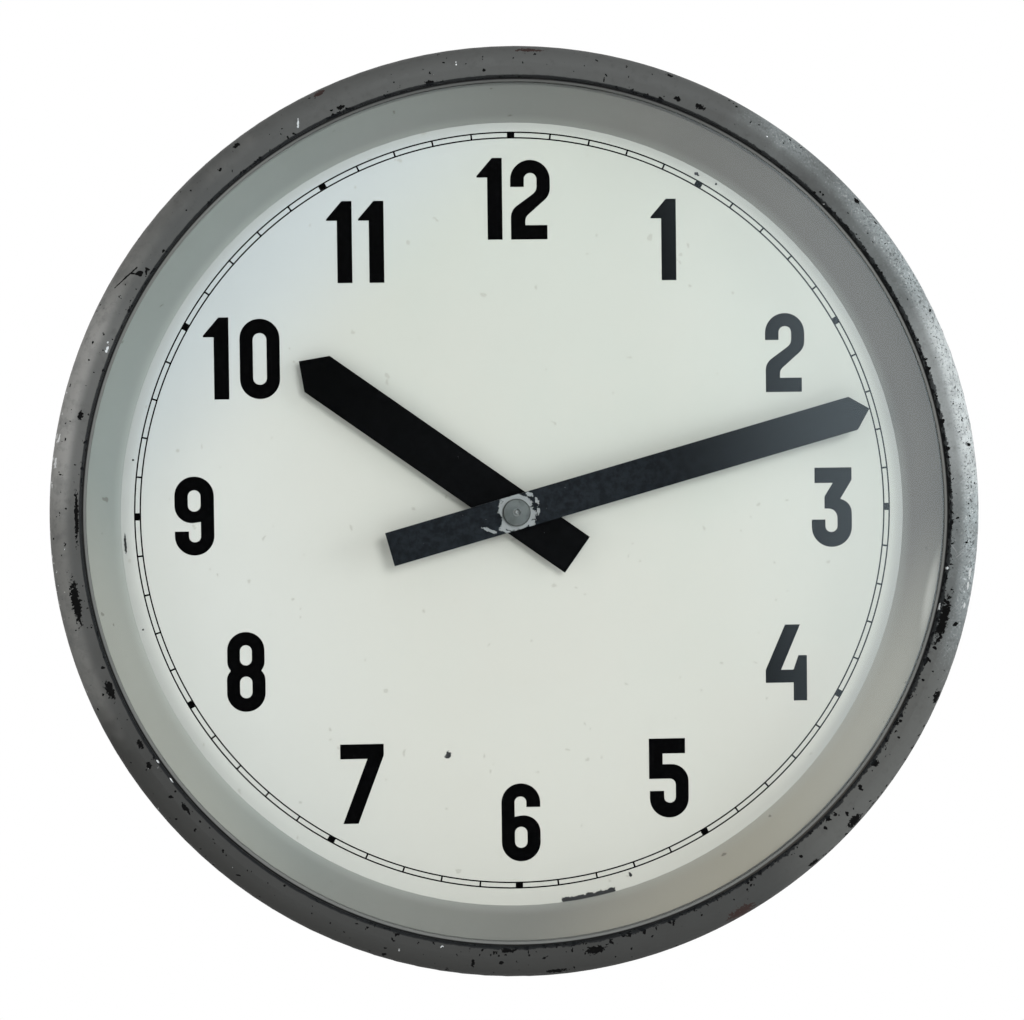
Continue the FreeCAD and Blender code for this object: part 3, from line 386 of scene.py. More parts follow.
# %% A small kit for node trees
class Finish:
    """A material while it is made: its node tree, its main shader and the clock's own coordinates."""

    def __init__(self, name):
        self.material = bpy.data.materials.new(name)
        self.material.use_nodes = True
        self.tree = self.material.node_tree
        self.shader = self.tree.nodes["Principled BSDF"]
        self.place = self.node("ShaderNodeTexCoord").outputs["Object"]

    def node(self, kind, inputs=None, **settings):
        made = self.tree.nodes.new(kind)
        for name, value in settings.items():
            setattr(made, name, value)
        for name, value in (inputs or {}).items():
            self.feed(made.inputs[name], value)
        return made

    def feed(self, socket, value):
        if isinstance(value, bpy.types.NodeSocket):
            self.tree.links.new(value, socket)
        elif isinstance(value, tuple) and len(value) == 3 and socket.type == "RGBA":
            socket.default_value = (*value, 1)
        else:
            socket.default_value = value

    def set(self, **values):
        for name, value in values.items():
            self.feed(self.shader.inputs[name.replace("_", " ")], value)

    def noise(self, size, detail=3, roughness=0.55, place=None):
        inputs = {"Vector": place or self.place, "Scale": 1 / size, "Detail": detail, "Roughness": roughness}
        return self.node("ShaderNodeTexNoise", inputs).outputs["Fac"]

    def cells(self, size, randomness=1.0):
        inputs = {"Vector": self.place, "Scale": 1 / size, "Randomness": randomness}
        return self.node("ShaderNodeTexVoronoi", inputs).outputs["Distance"]

    def moved(self, offset=(0, 0, 0), stretch=(1, 1, 1)):
        inputs = {"Vector": self.place, "Location": offset, "Scale": stretch}
        return self.node("ShaderNodeMapping", inputs).outputs["Vector"]

    def step(self, value, low, high, start=0.0, end=1.0):
        """Runs smoothly from start to end while value runs from low to high."""
        inputs = {"From Min": low, "From Max": high, "To Min": start, "To Max": end}
        made = self.node("ShaderNodeMapRange", inputs, interpolation_type="SMOOTHSTEP")
        self.feed(made.inputs["Value"], value)
        return made.outputs["Result"]

    def combine(self, operation, first, second=0):
        made = self.node("ShaderNodeMath", operation=operation)
        self.feed(made.inputs[0], first)
        self.feed(made.inputs[1], second)
        return made.outputs[0]

    def sum(self, first, second):
        return self.combine("ADD", first, second)

    def times(self, first, second):
        return self.combine("MULTIPLY", first, second)

    def larger(self, first, second):
        return self.combine("MAXIMUM", first, second)

    def absolute(self, value):
        return self.combine("ABSOLUTE", value)

    def rest(self, share):
        """What a share leaves of the whole."""
        return self.combine("SUBTRACT", 1.0, share)

    def swing(self, noise, width):
        """Noise moved to both sides of zero and given a width."""
        return self.times(self.sum(noise, -0.5), width)

    def waves(self, distance, pitch):
        """A wave that comes back every pitch along a distance."""
        turns = self.times(distance, full_turn / pitch)
        return self.node("ShaderNodeMath", {0: turns}, operation="SINE").outputs[0]

    def blend(self, share, first, second):
        """Colour that goes from first to second with share."""
        made = self.node("ShaderNodeMix", data_type="RGBA")
        self.feed(made.inputs["Factor"], share)
        self.feed(made.inputs[6], first)
        self.feed(made.inputs[7], second)
        return made.outputs[2]

    def vector(self, operation, first, *second):
        """A vector node's result, as a number or as a vector."""
        inputs = dict(enumerate((first, *second)))
        made = self.node("ShaderNodeVectorMath", inputs, operation=operation)
        return made.outputs["Vector" if operation == "NORMALIZE" else "Value"]

    def from_axis(self, centre=(0.0, 0.0)):
        """Distance from a point on the dial, seen from the front."""
        return self.vector("LENGTH", self.moved(offset=(-centre[0], 0, -centre[1]), stretch=(1, 0, 1)))

    def along(self, direction):
        """Distance along a direction through the clock's axis."""
        return self.vector("DOT_PRODUCT", self.place, direction)

    def toward(self, angle, near, far):
        """A share that is 1 within near degrees of a clock angle and falls to 0 at far degrees."""
        turn = math.radians(angle)
        way = self.vector("NORMALIZE", self.moved(stretch=(1, 0, 1)))
        facing = self.vector("DOT_PRODUCT", way, (math.sin(turn), 0, math.cos(turn)))
        return self.step(facing, math.cos(math.radians(far)), math.cos(math.radians(near)))

    def tinted(self, colour, tints):
        """Blends in tints towards some directions; a row is direction, start, full, share, colour."""
        for direction, start, full, share, other in tints:
            colour = self.blend(self.step(self.along(direction), start, full, 0.0, share), colour, other)
        return colour

    def chips(self, table, ragged=2.8, soft=0.05):
        """Where a chip of a table lies; a row is clock angle, radius, half length, half width, lean."""
        torn = self.swing(self.noise(1.3 * mm, 4, 0.6), ragged)
        through = 1000
        found = 0.0
        for angle, radius, half_long, half_wide, *lean in table:
            turn = math.radians(angle)
            centre = (radius * mm * math.sin(turn), 0, radius * mm * math.cos(turn))
            facing = (0, math.radians(angle + sum(lean)), 0)
            size = (half_long * mm, through, half_wide * mm)
            inputs = {"Vector": self.place, "Location": centre, "Rotation": facing, "Scale": size}
            oval = self.node("ShaderNodeMapping", inputs, vector_type="TEXTURE").outputs["Vector"]
            away = self.vector("LENGTH", oval)
            found = self.larger(found, self.step(self.sum(away, torn), 1 + soft, 1 - soft))
        return found

    def relief(self, height, depth, strength=1.0):
        """Adds a bump of some depth in metres on top of what the shader has."""
        inputs = {"Height": height, "Distance": depth, "Strength": strength}
        made = self.node("ShaderNodeBump", inputs)
        normal = self.shader.inputs["Normal"]
        if normal.is_linked:
            self.tree.links.new(normal.links[0].from_socket, made.inputs["Normal"])
        self.tree.links.new(made.outputs["Normal"], normal)

    def mix(self, share, first, second):
        """A shader that goes from first to second with share."""
        made = self.node("ShaderNodeMixShader", {0: share})
        self.tree.links.new(first.outputs[0], made.inputs[1])
        self.tree.links.new(second.outputs[0], made.inputs[2])
        return made

    def show(self, shader):
        """Puts another shader in the main one's place."""
        self.tree.links.new(shader.outputs[0], self.tree.nodes["Material Output"].inputs["Surface"])


finishes = {}


def keep(slot, material):
    """Files a finish under its slot and tells how many nodes it took."""
    finishes[slot] = material
    print(slot, "is", material.name, "with", len(material.node_tree.nodes), "nodes")


print("finish kit ready")

# %% [markdown]
# ## Grey stove enamel with chips: bezel and case
# The bezel is sheet steel under old grey paint. Its grey carries painted light and shade: darker towards the
# bottom, lighter at the top, painted highlights on the outer shoulder at the left and the right, and painted
# shade along the lip's inner edge. Its large chips stand in tables, each at its clock angle and radius, and
# noise tears their edges. The small ones are fine noise past a threshold, and a threshold that drops near an
# edge gathers them there. They go down to black, to dark primer or to bare steel.

# %% Large chips: clock angle, radius, half length, half width and lean, in degrees and millimetres
bezel_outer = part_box("bezel")[1].x
bezel_front = -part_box("bezel")[0].y
bezel_back = -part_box("bezel")[1].y
lip_inset = 15.5 * mm
lip = bezel_outer - lip_inset
black_chips = [
    (104.8, 212.6, 11, 2.2), (-100.3, 216, 10.5, 2.0), (-112.5, 213.2, 4.6, 1.8), (-120.4, 212.6, 2.2, 1.2),
    (-123.3, 214.4, 1.8, 1.0), (-130.5, 213.4, 2.4, 1.0), (-23.1, 212.2, 1.6, 1.0),
    (-24.7, 209.6, 3.0, 1.0), (-11.1, 210.6, 2.4, 1.2), (21.5, 213.4, 1.7, 1.0), (24.6, 213.9, 2.4, 1.2),
    (125.7, 211.8, 1.7, 1.4), (133.2, 221.8, 4.0, 2.2), (114.4, 222.4, 3.4, 1.6), (176.1, 222.2, 5.0, 0.9),
    (170.8, 214.4, 4.6, 1.7), (48.0, 222.5, 1.6, 1.0), (140.5, 222.6, 3.0, 1.0), (-173.4, 218.2, 0.8, 1.8),
    (-58.2, 219.0, 7.5, 0.35, 17), (-40.3, 217.6, 0.9, 0.6), (-36.8, 222.0, 1.6, 1.0),
    (-89.7, 211.7, 12, 0.9), (-76.6, 214.8, 2.0, 1.3), (19.7, 223.0, 1.7, 0.6), (64.5, 222.4, 1.1, 0.7),
    (-177.8, 211.2, 2.8, 1.0),
]
primer_chips = [(151.5, 222.0, 6.5, 2.8), (-24.7, 222.7, 3.0, 1.0), (1.8, 222.4, 6.0, 0.9)]
bare_chips = [
    (98.3, 221.6, 2.6, 0.6), (99.8, 221.6, 1.8, 0.6), (102.4, 221.6, 1.2, 0.5), (103.3, 209.6, 1.7, 0.4),
    (98.0, 210.0, 0.7, 0.6), (-80.0, 222.8, 2.0, 0.5), (-83.0, 223.0, 2.4, 0.6), (-123.6, 210.0, 1.2, 0.35),
    (-126.6, 210.0, 1.3, 0.3), (80.0, 222.2, 1.4, 0.5), (-67.5, 212.0, 1.6, 0.5),
    (-28.9, 214.4, 2.2, 0.45, -61),
]
print("bezel lip at radius", round(lip / mm, 2), "mm")
print("large chips", len(black_chips) + len(primer_chips) + len(bare_chips))

# %% The bezel's greys
# These greys paint light and shade by direction. low_grey is painted shade low down. high_grey, top_grey and
# lower_right_grey are painted light. The left and right greys are painted highlights on the shoulder. The
# speck, film and mottle greys are the paint's own.
low_grey = (0.044, 0.0445, 0.043)
high_grey = (0.069, 0.072, 0.071)
top_grey = (0.084, 0.087, 0.085)
lower_right_grey = (0.092, 0.094, 0.090)
left_grey = (0.195, 0.195, 0.187)
far_left_grey = (0.34, 0.34, 0.33)
right_grey = (0.31, 0.345, 0.35)
far_right_grey = (0.50, 0.53, 0.53)
dark_speck = (0.02, 0.02, 0.02)
light_speck = (0.60, 0.62, 0.62)
film_grey = (0.05, 0.05, 0.048)
mottle_grey = (0.07, 0.075, 0.075)


def bezel_tones(finish, radius, blotch, film, lower_right):
    """The old paint with painted light and shade: darker low down, painted highlights on the outer shoulder
    at both sides, and specks at the right.
    """
    cloud = finish.swing(blotch, 0.2)
    # Painted shade towards the bottom, and painted light towards the upper right, at the top and at the
    # lower right.
    height = finish.sum(finish.along((0.45, 0, 0.9)), cloud)
    paint = finish.blend(finish.step(height, -0.19, 0.02), low_grey, high_grey)
    paint = finish.blend(finish.toward(2, 22, 46), paint, top_grey)
    paint = finish.blend(lower_right, paint, lower_right_grey)
    # Painted highlights on the outer shoulder: at the left, and brighter at the right, brightest just above
    # three o'clock.
    outward = finish.step(radius, lip + 3 * mm, lip + 11 * mm)
    left = finish.step(finish.sum(finish.along((-1, 0, 0.25)), cloud), 0.14, 0.225)
    left = finish.times(left, finish.step(outward, 0, 1, 0.12, 0.68))
    paint = finish.blend(left, paint, left_grey)
    left_glare = finish.times(finish.toward(285, 5, 17), finish.step(outward, 0, 1, 0.12, 0.55))
    paint = finish.blend(left_glare, paint, far_left_grey)
    right_highlight = finish.step(finish.sum(finish.along((1, 0, 0.12)), cloud), 0.120, 0.235)
    right_highlight = finish.times(right_highlight, finish.step(finish.along((0, 0, 1)), -0.100, -0.005))
    right_highlight = finish.times(right_highlight, finish.step(outward, 0, 1, 0.33, 0.86))
    paint = finish.blend(right_highlight, paint, right_grey)
    right_glare = finish.times(finish.toward(76, 4, 15), finish.step(outward, 0, 1, 0.3, 0.75))
    paint = finish.blend(right_glare, paint, far_right_grey)
    # The paint's own dark and light specks, placed where the right highlight is painted.
    speckle = finish.noise(1.1 * mm, 3, 0.6)
    speckled_highlight = finish.times(right_highlight, finish.step(outward, 0, 1, 0.4, 1.1))
    paint = finish.blend(finish.times(finish.step(speckle, 0.58, 0.61, 0, 0.95), speckled_highlight), paint, dark_speck)
    paint = finish.blend(finish.times(finish.step(speckle, 0.41, 0.36, 0, 0.6), speckled_highlight), paint, light_speck)
    paint = finish.blend(finish.times(finish.step(film, 0.5, 0.75), 0.3), paint, film_grey)
    # Darker mottling of the paint over the painted highlights.
    mottle = finish.step(finish.noise(7 * mm, 6, 0.72), 0.46, 0.60, 0.0, 0.42)
    return finish.blend(finish.times(mottle, finish.larger(right_highlight, left)), paint, mottle_grey)


print("bezel goes from", low_grey, "to", far_right_grey)

# %% Where the bezel's paint is off
def bezel_black(finish, radius, right, at_rim, grain, lower_right):
    """Where it is off down to black: along both edges, in specks and in the large chips."""
    worn = finish.step(finish.noise(95 * mm, 2), 0.40, 0.62)
    amount = finish.larger(worn, right)
    at_lip = finish.step(radius, lip + 4.5 * mm, lip + 0.2 * mm)
    pull = finish.times(at_lip, finish.step(amount, 0, 1, 0.05, 0.20))
    pull = finish.larger(pull, finish.times(at_rim, finish.step(amount, 0, 1, 0.0, 0.09)))
    pull = finish.sum(pull, finish.times(finish.times(at_rim, lower_right), 0.10))
    upper_left = finish.step(finish.along((-0.64, 0, 0.77)), 0.15, 0.20, 0.0, 0.7)
    frayed = finish.larger(finish.step(finish.along((0.87, 0, 0.5)), 0.10, 0.19), upper_left)
    frayed = finish.times(frayed, finish.step(radius, lip + 2.0 * mm, lip + 0.2 * mm))
    pull = finish.sum(pull, finish.times(frayed, 0.09))
    black = finish.step(finish.sum(grain, finish.sum(pull, -0.16)), 0.605, 0.615)
    black = finish.larger(black, finish.step(finish.noise(5.5 * mm, 2, 0.4), 0.735, 0.745))
    gathered = finish.times(finish.step(radius, lip + 6 * mm, lip + 2 * mm), finish.toward(150, 40, 75))
    crowded = finish.sum(finish.noise(2.8 * mm, 2, 0.45), finish.times(gathered, 0.09))
    black = finish.larger(black, finish.step(crowded, 0.715, 0.725))
    return finish.larger(black, finish.chips(black_chips))


def hairlines(finish, slant):
    """Fine scratches at a slant in degrees: noise squeezed across its own direction, and broken up."""
    inputs = {"Vector": finish.place, "Rotation": (0, math.radians(slant), 0), "Scale": (1, 1, 0.02)}
    place = finish.node("ShaderNodeMapping", inputs, vector_type="TEXTURE").outputs["Vector"]
    broken = finish.step(finish.noise(7 * mm, 2), 0.52, 0.6)
    return finish.times(finish.step(finish.noise(18 * mm, 1, 0.5, place), 0.63, 0.66), broken)


def bezel_bare(finish, right, at_rim, black):
    """Where steel shows: on the rubbed shoulder and back edge, in bright chips and in scratches."""
    sides = finish.step(finish.absolute(finish.along((1, 0, 0))), 0.195, 0.222)
    forward = finish.along((0, -1, 0))
    at_shoulder = finish.step(forward, bezel_front - 15 * mm, bezel_front - 6 * mm)
    at_back = finish.step(forward, bezel_back + 3 * mm, bezel_back)
    rubbed = finish.times(at_rim, finish.larger(finish.times(at_shoulder, sides), at_back))
    rim_grain = finish.noise(4.4 * mm, 4, 0.6)
    bare = finish.step(finish.sum(rim_grain, finish.times(rubbed, 0.12)), 0.735, 0.75)
    scratch = finish.larger(hairlines(finish, 55), hairlines(finish, -40))
    scratch = finish.times(scratch, finish.times(right, sides))
    scratch = finish.times(scratch, finish.rest(black))
    return finish.larger(finish.larger(bare, finish.chips(bare_chips)), finish.times(scratch, 0.25))


print("bezel stands", round(bezel_back / mm, 1), "to", round(bezel_front / mm, 1), "mm out from the wall")

# %% Bezel paint
primer = (0.034, 0.022, 0.020)
chip_black = (0.003, 0.003, 0.003)
# lip_shade_black is painted shade at the lip's inner edge.
lip_shade_black = (0.007, 0.008, 0.009)
bare_steel = (0.52, 0.53, 0.53)


def bezel_paint():
    finish = Finish("grey_bezel_paint")
    radius = finish.from_axis()
    blotch = finish.noise(60 * mm, 4)
    film = finish.noise(4 * mm, 5, 0.65)
    lower_right = finish.toward(124.5, 8, 23)
    paint = bezel_tones(finish, radius, blotch, film, lower_right)
    right = finish.step(finish.along((1.0, 0.0, -0.35)), -0.05, 0.2)
    at_rim = finish.step(radius, bezel_outer - 5 * mm, bezel_outer - 0.3 * mm)
    grain = finish.noise(3.2 * mm, 5, 0.62)
    black = bezel_black(finish, radius, right, at_rim, grain, lower_right)
    bare = bezel_bare(finish, right, at_rim, black)

    colour = finish.blend(finish.chips(primer_chips), paint, primer)
    colour = finish.blend(black, colour, chip_black)
    # Painted shade along the lip's inner edge, where the rounded lip falls into shadow. The edge of this
    # shade is ragged at the right, where the lip is also chipped to black.
    torn = finish.swing(grain, finish.step(right, 0, 1, 0.8 * mm, 5.5 * mm))
    shaded = finish.step(finish.sum(radius, torn), lip + 1.4 * mm, lip + 0.8 * mm, 0.0, 0.88)
    colour = finish.blend(shaded, colour, lip_shade_black)
    finish.set(Base_Color=finish.blend(bare, colour, bare_steel), Metallic=finish.times(bare, 0.9))
    gloss = finish.step(film, 0.3, 0.7, 0.40, 0.56)
    finish.set(Roughness=finish.sum(gloss, finish.times(black, 0.35)))
    finish.set(Specular_IOR_Level=0.05)
    finish.relief(finish.noise(1.6 * mm, 3), 0.02 * mm, 0.5)
    finish.relief(finish.rest(black), 0.15 * mm)
    return finish.material


keep("bezel_paint", bezel_paint())

# %% Case paint
wall_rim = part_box("case_shell")[1].x - 10 * mm
case_grey = (0.085, 0.092, 0.09)
dusty_grey = (0.105, 0.11, 0.106)
rubbed_grey = (0.21, 0.215, 0.21)
dark_rust = (0.035, 0.018, 0.01)
light_rust = (0.12, 0.055, 0.025)


def case_paint():
    finish = Finish("grey_case_paint")
    dust = finish.noise(80 * mm, 4)
    film = finish.noise(3 * mm, 4, 0.6)
    paint = finish.blend(finish.step(dust, 0.35, 0.7), case_grey, dusty_grey)
    behind = finish.step(finish.along((0, 1, 0)), -4 * mm, -1 * mm)
    at_rim = finish.step(finish.from_axis(), wall_rim - 14 * mm, wall_rim)
    rubbed = finish.times(at_rim, finish.step(finish.noise(11 * mm, 6, 0.68), 0.47, 0.60))
    scuffs = finish.times(finish.larger(hairlines(finish, 20), hairlines(finish, -68)), 0.8)
    touched = finish.times(behind, finish.larger(finish.times(rubbed, 0.6), scuffs))
    paint = finish.blend(touched, paint, rubbed_grey)
    chips = finish.step(finish.noise(9 * mm, 5, 0.6), 0.70, 0.715)
    rust = finish.blend(finish.noise(2 * mm), dark_rust, light_rust)
    finish.set(Base_Color=finish.blend(chips, paint, rust))
    finish.set(Roughness=finish.sum(finish.step(film, 0.3, 0.7, 0.42, 0.6), finish.times(chips, 0.25)))
    finish.relief(film, 0.04 * mm, 0.6)
    finish.relief(finish.rest(chips), 0.12 * mm)
    return finish.material


keep("case_paint", case_paint())

# %% [markdown]
# ## The reflector ring
# A smooth matt cone between glass and dial, with a few specks. Its grey drifts from cool at the left to
# warm at the right. Painted shade darkens its right and its bottom, painted light brightens its lower left
# and lower right, and painted highlights lie along its foot and in one streak at the right.

# %% Reflector paint
ring_drop = 2 * mm
foot_radius = 192.5 * mm
cool_grey = (0.243, 0.272, 0.262)
warm_grey = (0.250, 0.247, 0.241)
foot_highlight_grey = (0.50, 0.52, 0.50)
# The glint colour and arc paint a reflection on the ring.
glint_colour = (0.80, 0.79, 0.75)
glint_arc = [(101.8, 206.2, 17, 1.5)]
ring_speck = (0.09, 0.08, 0.07)
# Painted light and shade by direction: darker at the right and upper right and at the bottom, lighter at the
# lower right and the lower left.
ring_light_and_shade = [
    ((0.95, 0, 0.30), 0.09, 0.18, 1.0, (0.176, 0.160, 0.148)),
    ((-0.1, 0, -1), 0.15, 0.20, 0.6, (0.222, 0.219, 0.202)),
    ((0.707, 0, -0.707), 0.14, 0.205, 1.0, (0.42, 0.40, 0.345)),
    ((-0.891, 0, -0.454), 0.165, 0.205, 0.9, (0.32, 0.325, 0.295)),
]


def reflector_paint():
    finish = Finish("grey_reflector_paint")
    drift = finish.sum(finish.along((1, 0, 0)), finish.swing(finish.noise(90 * mm, 3), 0.2))
    paint = finish.blend(finish.step(drift, -0.2, 0.15), cool_grey, warm_grey)
    paint = finish.tinted(paint, ring_light_and_shade)
    # A painted highlight along the ring's foot, next to the dial.
    foot = finish.step(finish.from_axis((0, -ring_drop)), 197 * mm, foot_radius)
    paint = finish.blend(finish.times(foot, 0.3), paint, foot_highlight_grey)
    # A painted reflection: a pale streak near the ring's outer edge at the right.
    glint = finish.chips(glint_arc, ragged=0.0, soft=0.75)
    paint = finish.blend(finish.times(glint, 0.5), paint, glint_colour)
    specks = finish.step(finish.noise(6 * mm, 2, 0.4), 0.75, 0.77)
    finish.set(Base_Color=finish.blend(finish.times(specks, 0.55), paint, ring_speck))
    finish.set(Roughness=finish.step(finish.noise(14 * mm, 3), 0.3, 0.7, 0.38, 0.52))
    finish.relief(finish.noise(16 * mm, 2), 0.02 * mm, 0.4)
    return finish.material


keep("reflector_paint", reflector_paint())

# %% [markdown]
# ## Dial enamel
# A pale enamelled sheet, slightly green, with faint clouds and specks of dust. Painted light makes it
# lighter at the left and bluer at the upper left, and painted shade darkens its edge next to the ring. A few
# chips and one chipped strip at the lower edge show the dark ground coat. The strip is a distance whose edge
# is bent by noise.

# %% Dial enamel and numeral paint
dial_chips = [
    (-163.9, 124.4, 1.5, 1.7), (163.0, 188.7, 0.8, 1.2), (-106.8, 191.0, 0.5, 0.5), (29.0, 188.6, 1.3, 0.8),
    (32.3, 189.2, 0.6, 0.6), (-94.0, 191.2, 4.8, 0.6), (-81.5, 188.4, 0.5, 0.5),
]
low_enamel = (0.664, 0.664, 0.617)
high_enamel = (0.595, 0.629, 0.580)
# Painted light: lighter at the left, and lighter and bluer at the upper left.
dial_light_tints = [
    ((-1, 0, -0.15), 0.04, 0.17, 1.0, (0.700, 0.717, 0.690)),
    ((-0.707, 0, 0.707), 0.11, 0.18, 1.0, (0.59, 0.64, 0.66)),
]
# edge_shade_grey is painted shade at the dial's edge.
edge_shade_grey = (0.37, 0.38, 0.37)
dust_brown = (0.36, 0.35, 0.30)
ground_coat = (0.02, 0.02, 0.022)
strip_across = 34.2 * mm
strip_half = 13.6 * mm
strip_radius = 190.4 * mm


def bare_strip(finish):
    """A strip at the dial's lower edge, within a reach sideways and beyond a radius."""
    ragged = finish.swing(finish.noise(1.6 * mm, 4), 3.0 * mm)
    sideways = finish.absolute(finish.sum(finish.along((1, 0, 0)), -strip_across))
    in_reach = finish.step(finish.sum(sideways, ragged), strip_half, strip_half - 0.6 * mm)
    outward = finish.sum(finish.from_axis((0, -ring_drop)), ragged)
    low = finish.step(outward, strip_radius, strip_radius + 0.4 * mm)
    down = finish.step(finish.along((0, 0, -1)), 0.150, 0.160)
    return finish.times(finish.times(in_reach, low), down)


def dial_enamel():
    finish = Finish("pale_dial_enamel")
    cloud = finish.noise(70 * mm, 3)
    height = finish.sum(finish.along((0.3, 0, 1)), finish.swing(cloud, 0.3))
    enamel = finish.blend(finish.step(height, -0.15, 0.2), low_enamel, high_enamel)
    enamel = finish.tinted(enamel, dial_light_tints)
    # Painted shade round the dial's edge next to the ring: all round but the bottom, and strongest at the
    # right.
    corner = finish.step(finish.from_axis((0, -ring_drop)), 185 * mm, foot_radius)
    edge_shade = finish.times(corner, finish.step(finish.along((0, 0, 1)), -0.185, -0.09))
    edge_shade = finish.times(edge_shade, finish.step(finish.along((1, 0, 0)), 0.05, 0.17, 0.55, 0.78))
    enamel = finish.blend(edge_shade, enamel, edge_shade_grey)
    dust = finish.step(finish.noise(5 * mm, 2, 0.4), 0.735, 0.76)
    enamel = finish.blend(finish.times(dust, 0.35), enamel, dust_brown)
    strip = bare_strip(finish)
    bare = finish.larger(finish.chips(dial_chips), strip)
    finish.set(Base_Color=finish.blend(bare, enamel, ground_coat))
    finish.set(Roughness=finish.sum(finish.step(cloud, 0.3, 0.7, 0.34, 0.44), finish.times(bare, 0.3)))
    finish.relief(finish.noise(9 * mm, 2), 0.02 * mm, 0.5)
    finish.relief(finish.rest(bare), 0.2 * mm)
    return finish.material


def numeral_paint():
    finish = Finish("black_numeral_paint")
    film = finish.noise(2.5 * mm, 4)
    thick, thin = (0.0012, 0.0012, 0.0013), (0.0022, 0.0022, 0.0024)
    finish.set(Base_Color=finish.blend(finish.step(film, 0.3, 0.75), thick, thin))
    finish.set(Roughness=finish.step(film, 0.3, 0.7, 0.42, 0.6), Specular_IOR_Level=0.01)
    return finish.material


keep("dial_enamel", dial_enamel())

# %% [markdown]
# ## Blackened hands
# Flat steel bars under blue-black lacquer. The lacquer has rubbed through to bright metal round the hub,
# where fingers have set the hands, and in a few flecks along the bars.

# %% Hand lacquer
rubbed_spots = [
    (-123.6, 15.7, 4.2, 0.7, 147), (-137.8, 10.3, 1.6, 1.4), (-160, 10.6, 2.4, 0.8), (62, 11.4, 2.2, 0.7),
    (88, 10.6, 1.8, 0.6), (127, 9.6, 1.9, 1.3), (37, 10.8, 1.8, 1.1),
]
handled_reach = 45 * mm
# side_sheen_grey is a painted highlight on the bars' side faces.
side_sheen_grey = (0.20, 0.20, 0.20)
worn_steel = (0.31, 0.32, 0.32)


def hand_lacquer(name, tint, worn_reach, worn_spots=()):
    """Lacquer with a tint that is bare within worn_reach of the arbor and darkest far from it."""
    finish = Finish(name)
    film = finish.noise(3 * mm, 4, 0.6)
    lacquer = finish.blend(finish.step(film, 0.3, 0.7), tint, tuple(2 * part for part in tint))
    sound = finish.step(finish.from_axis(), handled_reach, 130 * mm, 0.0, 0.8)
    lacquer = finish.blend(sound, lacquer, tuple(part / 8 for part in tint))
    ragged = finish.swing(finish.noise(4.2 * mm, 5, 0.65), 11 * mm)
    bare = finish.step(finish.sum(finish.from_axis(), ragged), worn_reach + 0.4 * mm, worn_reach)
    flecks = finish.step(finish.noise(2.2 * mm, 3, 0.6), 0.735, 0.75)
    near = finish.step(finish.from_axis(), handled_reach, 12 * mm)
    bare = finish.larger(bare, finish.times(flecks, near))
    bare = finish.larger(bare, finish.chips(worn_spots))
    # A painted highlight: the side faces of the bars are painted a lit grey.
    normal = finish.node("ShaderNodeNewGeometry").outputs["Normal"]
    facing = finish.absolute(finish.vector("DOT_PRODUCT", normal, (0, 1, 0)))
    side_sheen = finish.step(facing, 0.5, 0.3)
    lacquer = finish.blend(finish.times(side_sheen, 0.6), lacquer, side_sheen_grey)
    finish.set(Base_Color=finish.blend(bare, lacquer, worn_steel), Metallic=finish.times(bare, 0.8))
    finish.set(Roughness=finish.step(film, 0.3, 0.7, 0.36, 0.50), Specular_IOR_Level=0.03)
    finish.relief(film, 0.02 * mm, 0.4)
    finish.relief(finish.rest(bare), 0.06 * mm)
    return finish.material


keep("hand_paint", hand_lacquer("black_hand_lacquer", (0.0013, 0.0014, 0.0017), 2 * mm))
blue_black = (0.0085, 0.0105, 0.0130)
own_finish = {"minute_hand": hand_lacquer("blue_black_hand_lacquer", blue_black, 8.8 * mm, rubbed_spots)}

# %% [markdown]
# ## Glass and gasket
# The pane only shows by what it mirrors. A Fresnel share of gloss over a Transparent shader gives that
# without bending or darkening the dial, and lets the lamps through. The gasket is dull black rubber, with
# grey dust on its inner edge.

# %% Glass
def clear_glass():
    finish = Finish("clear_glass")
    clear = finish.node("ShaderNodeBsdfTransparent", {"Color": (0.985, 0.99, 0.985)})
    smooth = finish.step(finish.noise(50 * mm), 0.3, 0.7, 0.015, 0.04)
    finish.set(Base_Color=(1.0, 1.0, 1.0), Roughness=smooth, Metallic=1.0)
    mirrored = finish.node("ShaderNodeFresnel", {"IOR": 1.6}).outputs["Fac"]
    outer_side = finish.rest(finish.node("ShaderNodeNewGeometry").outputs["Backfacing"])
    finish.show(finish.mix(finish.times(mirrored, outer_side), clear, finish.shader))
    return finish.material


keep("glass", clear_glass())

# %% Rubber
dusty_from = 206 * mm
dusty_to = 208.8 * mm
rubber_black = (0.006, 0.006, 0.006)
bloom_grey = (0.018, 0.018, 0.017)
dust_tan = (0.095, 0.088, 0.075)
dust_grey = (0.16, 0.165, 0.158)


def black_rubber():
    finish = Finish("black_rubber")
    bloom = finish.noise(12 * mm, 4, 0.6)
    rubber = finish.blend(finish.step(bloom, 0.4, 0.75), rubber_black, bloom_grey)
    dust = finish.times(finish.toward(135, 6, 22), 0.45)
    rubber = finish.blend(dust, rubber, dust_tan)
    radius = finish.from_axis()
    inner_edge = finish.step(radius, dusty_from, dusty_from + 1.0 * mm)
    inner_edge = finish.times(inner_edge, finish.step(radius, dusty_to, dusty_to - 0.5 * mm))
    # The grey is halved towards the top, as painted shade.
    inner_edge = finish.times(inner_edge, finish.step(finish.along((0, 0, 1)), 0.15, 0.20, 1.0, 0.5))
    finish.set(Base_Color=finish.blend(inner_edge, rubber, dust_grey))
    finish.set(Roughness=finish.step(bloom, 0.3, 0.7, 0.65, 0.85), Specular_IOR_Level=0.18)
    finish.relief(finish.noise(0.8 * mm, 2), 0.03 * mm, 0.6)
    return finish.material


keep("gasket", black_rubber())

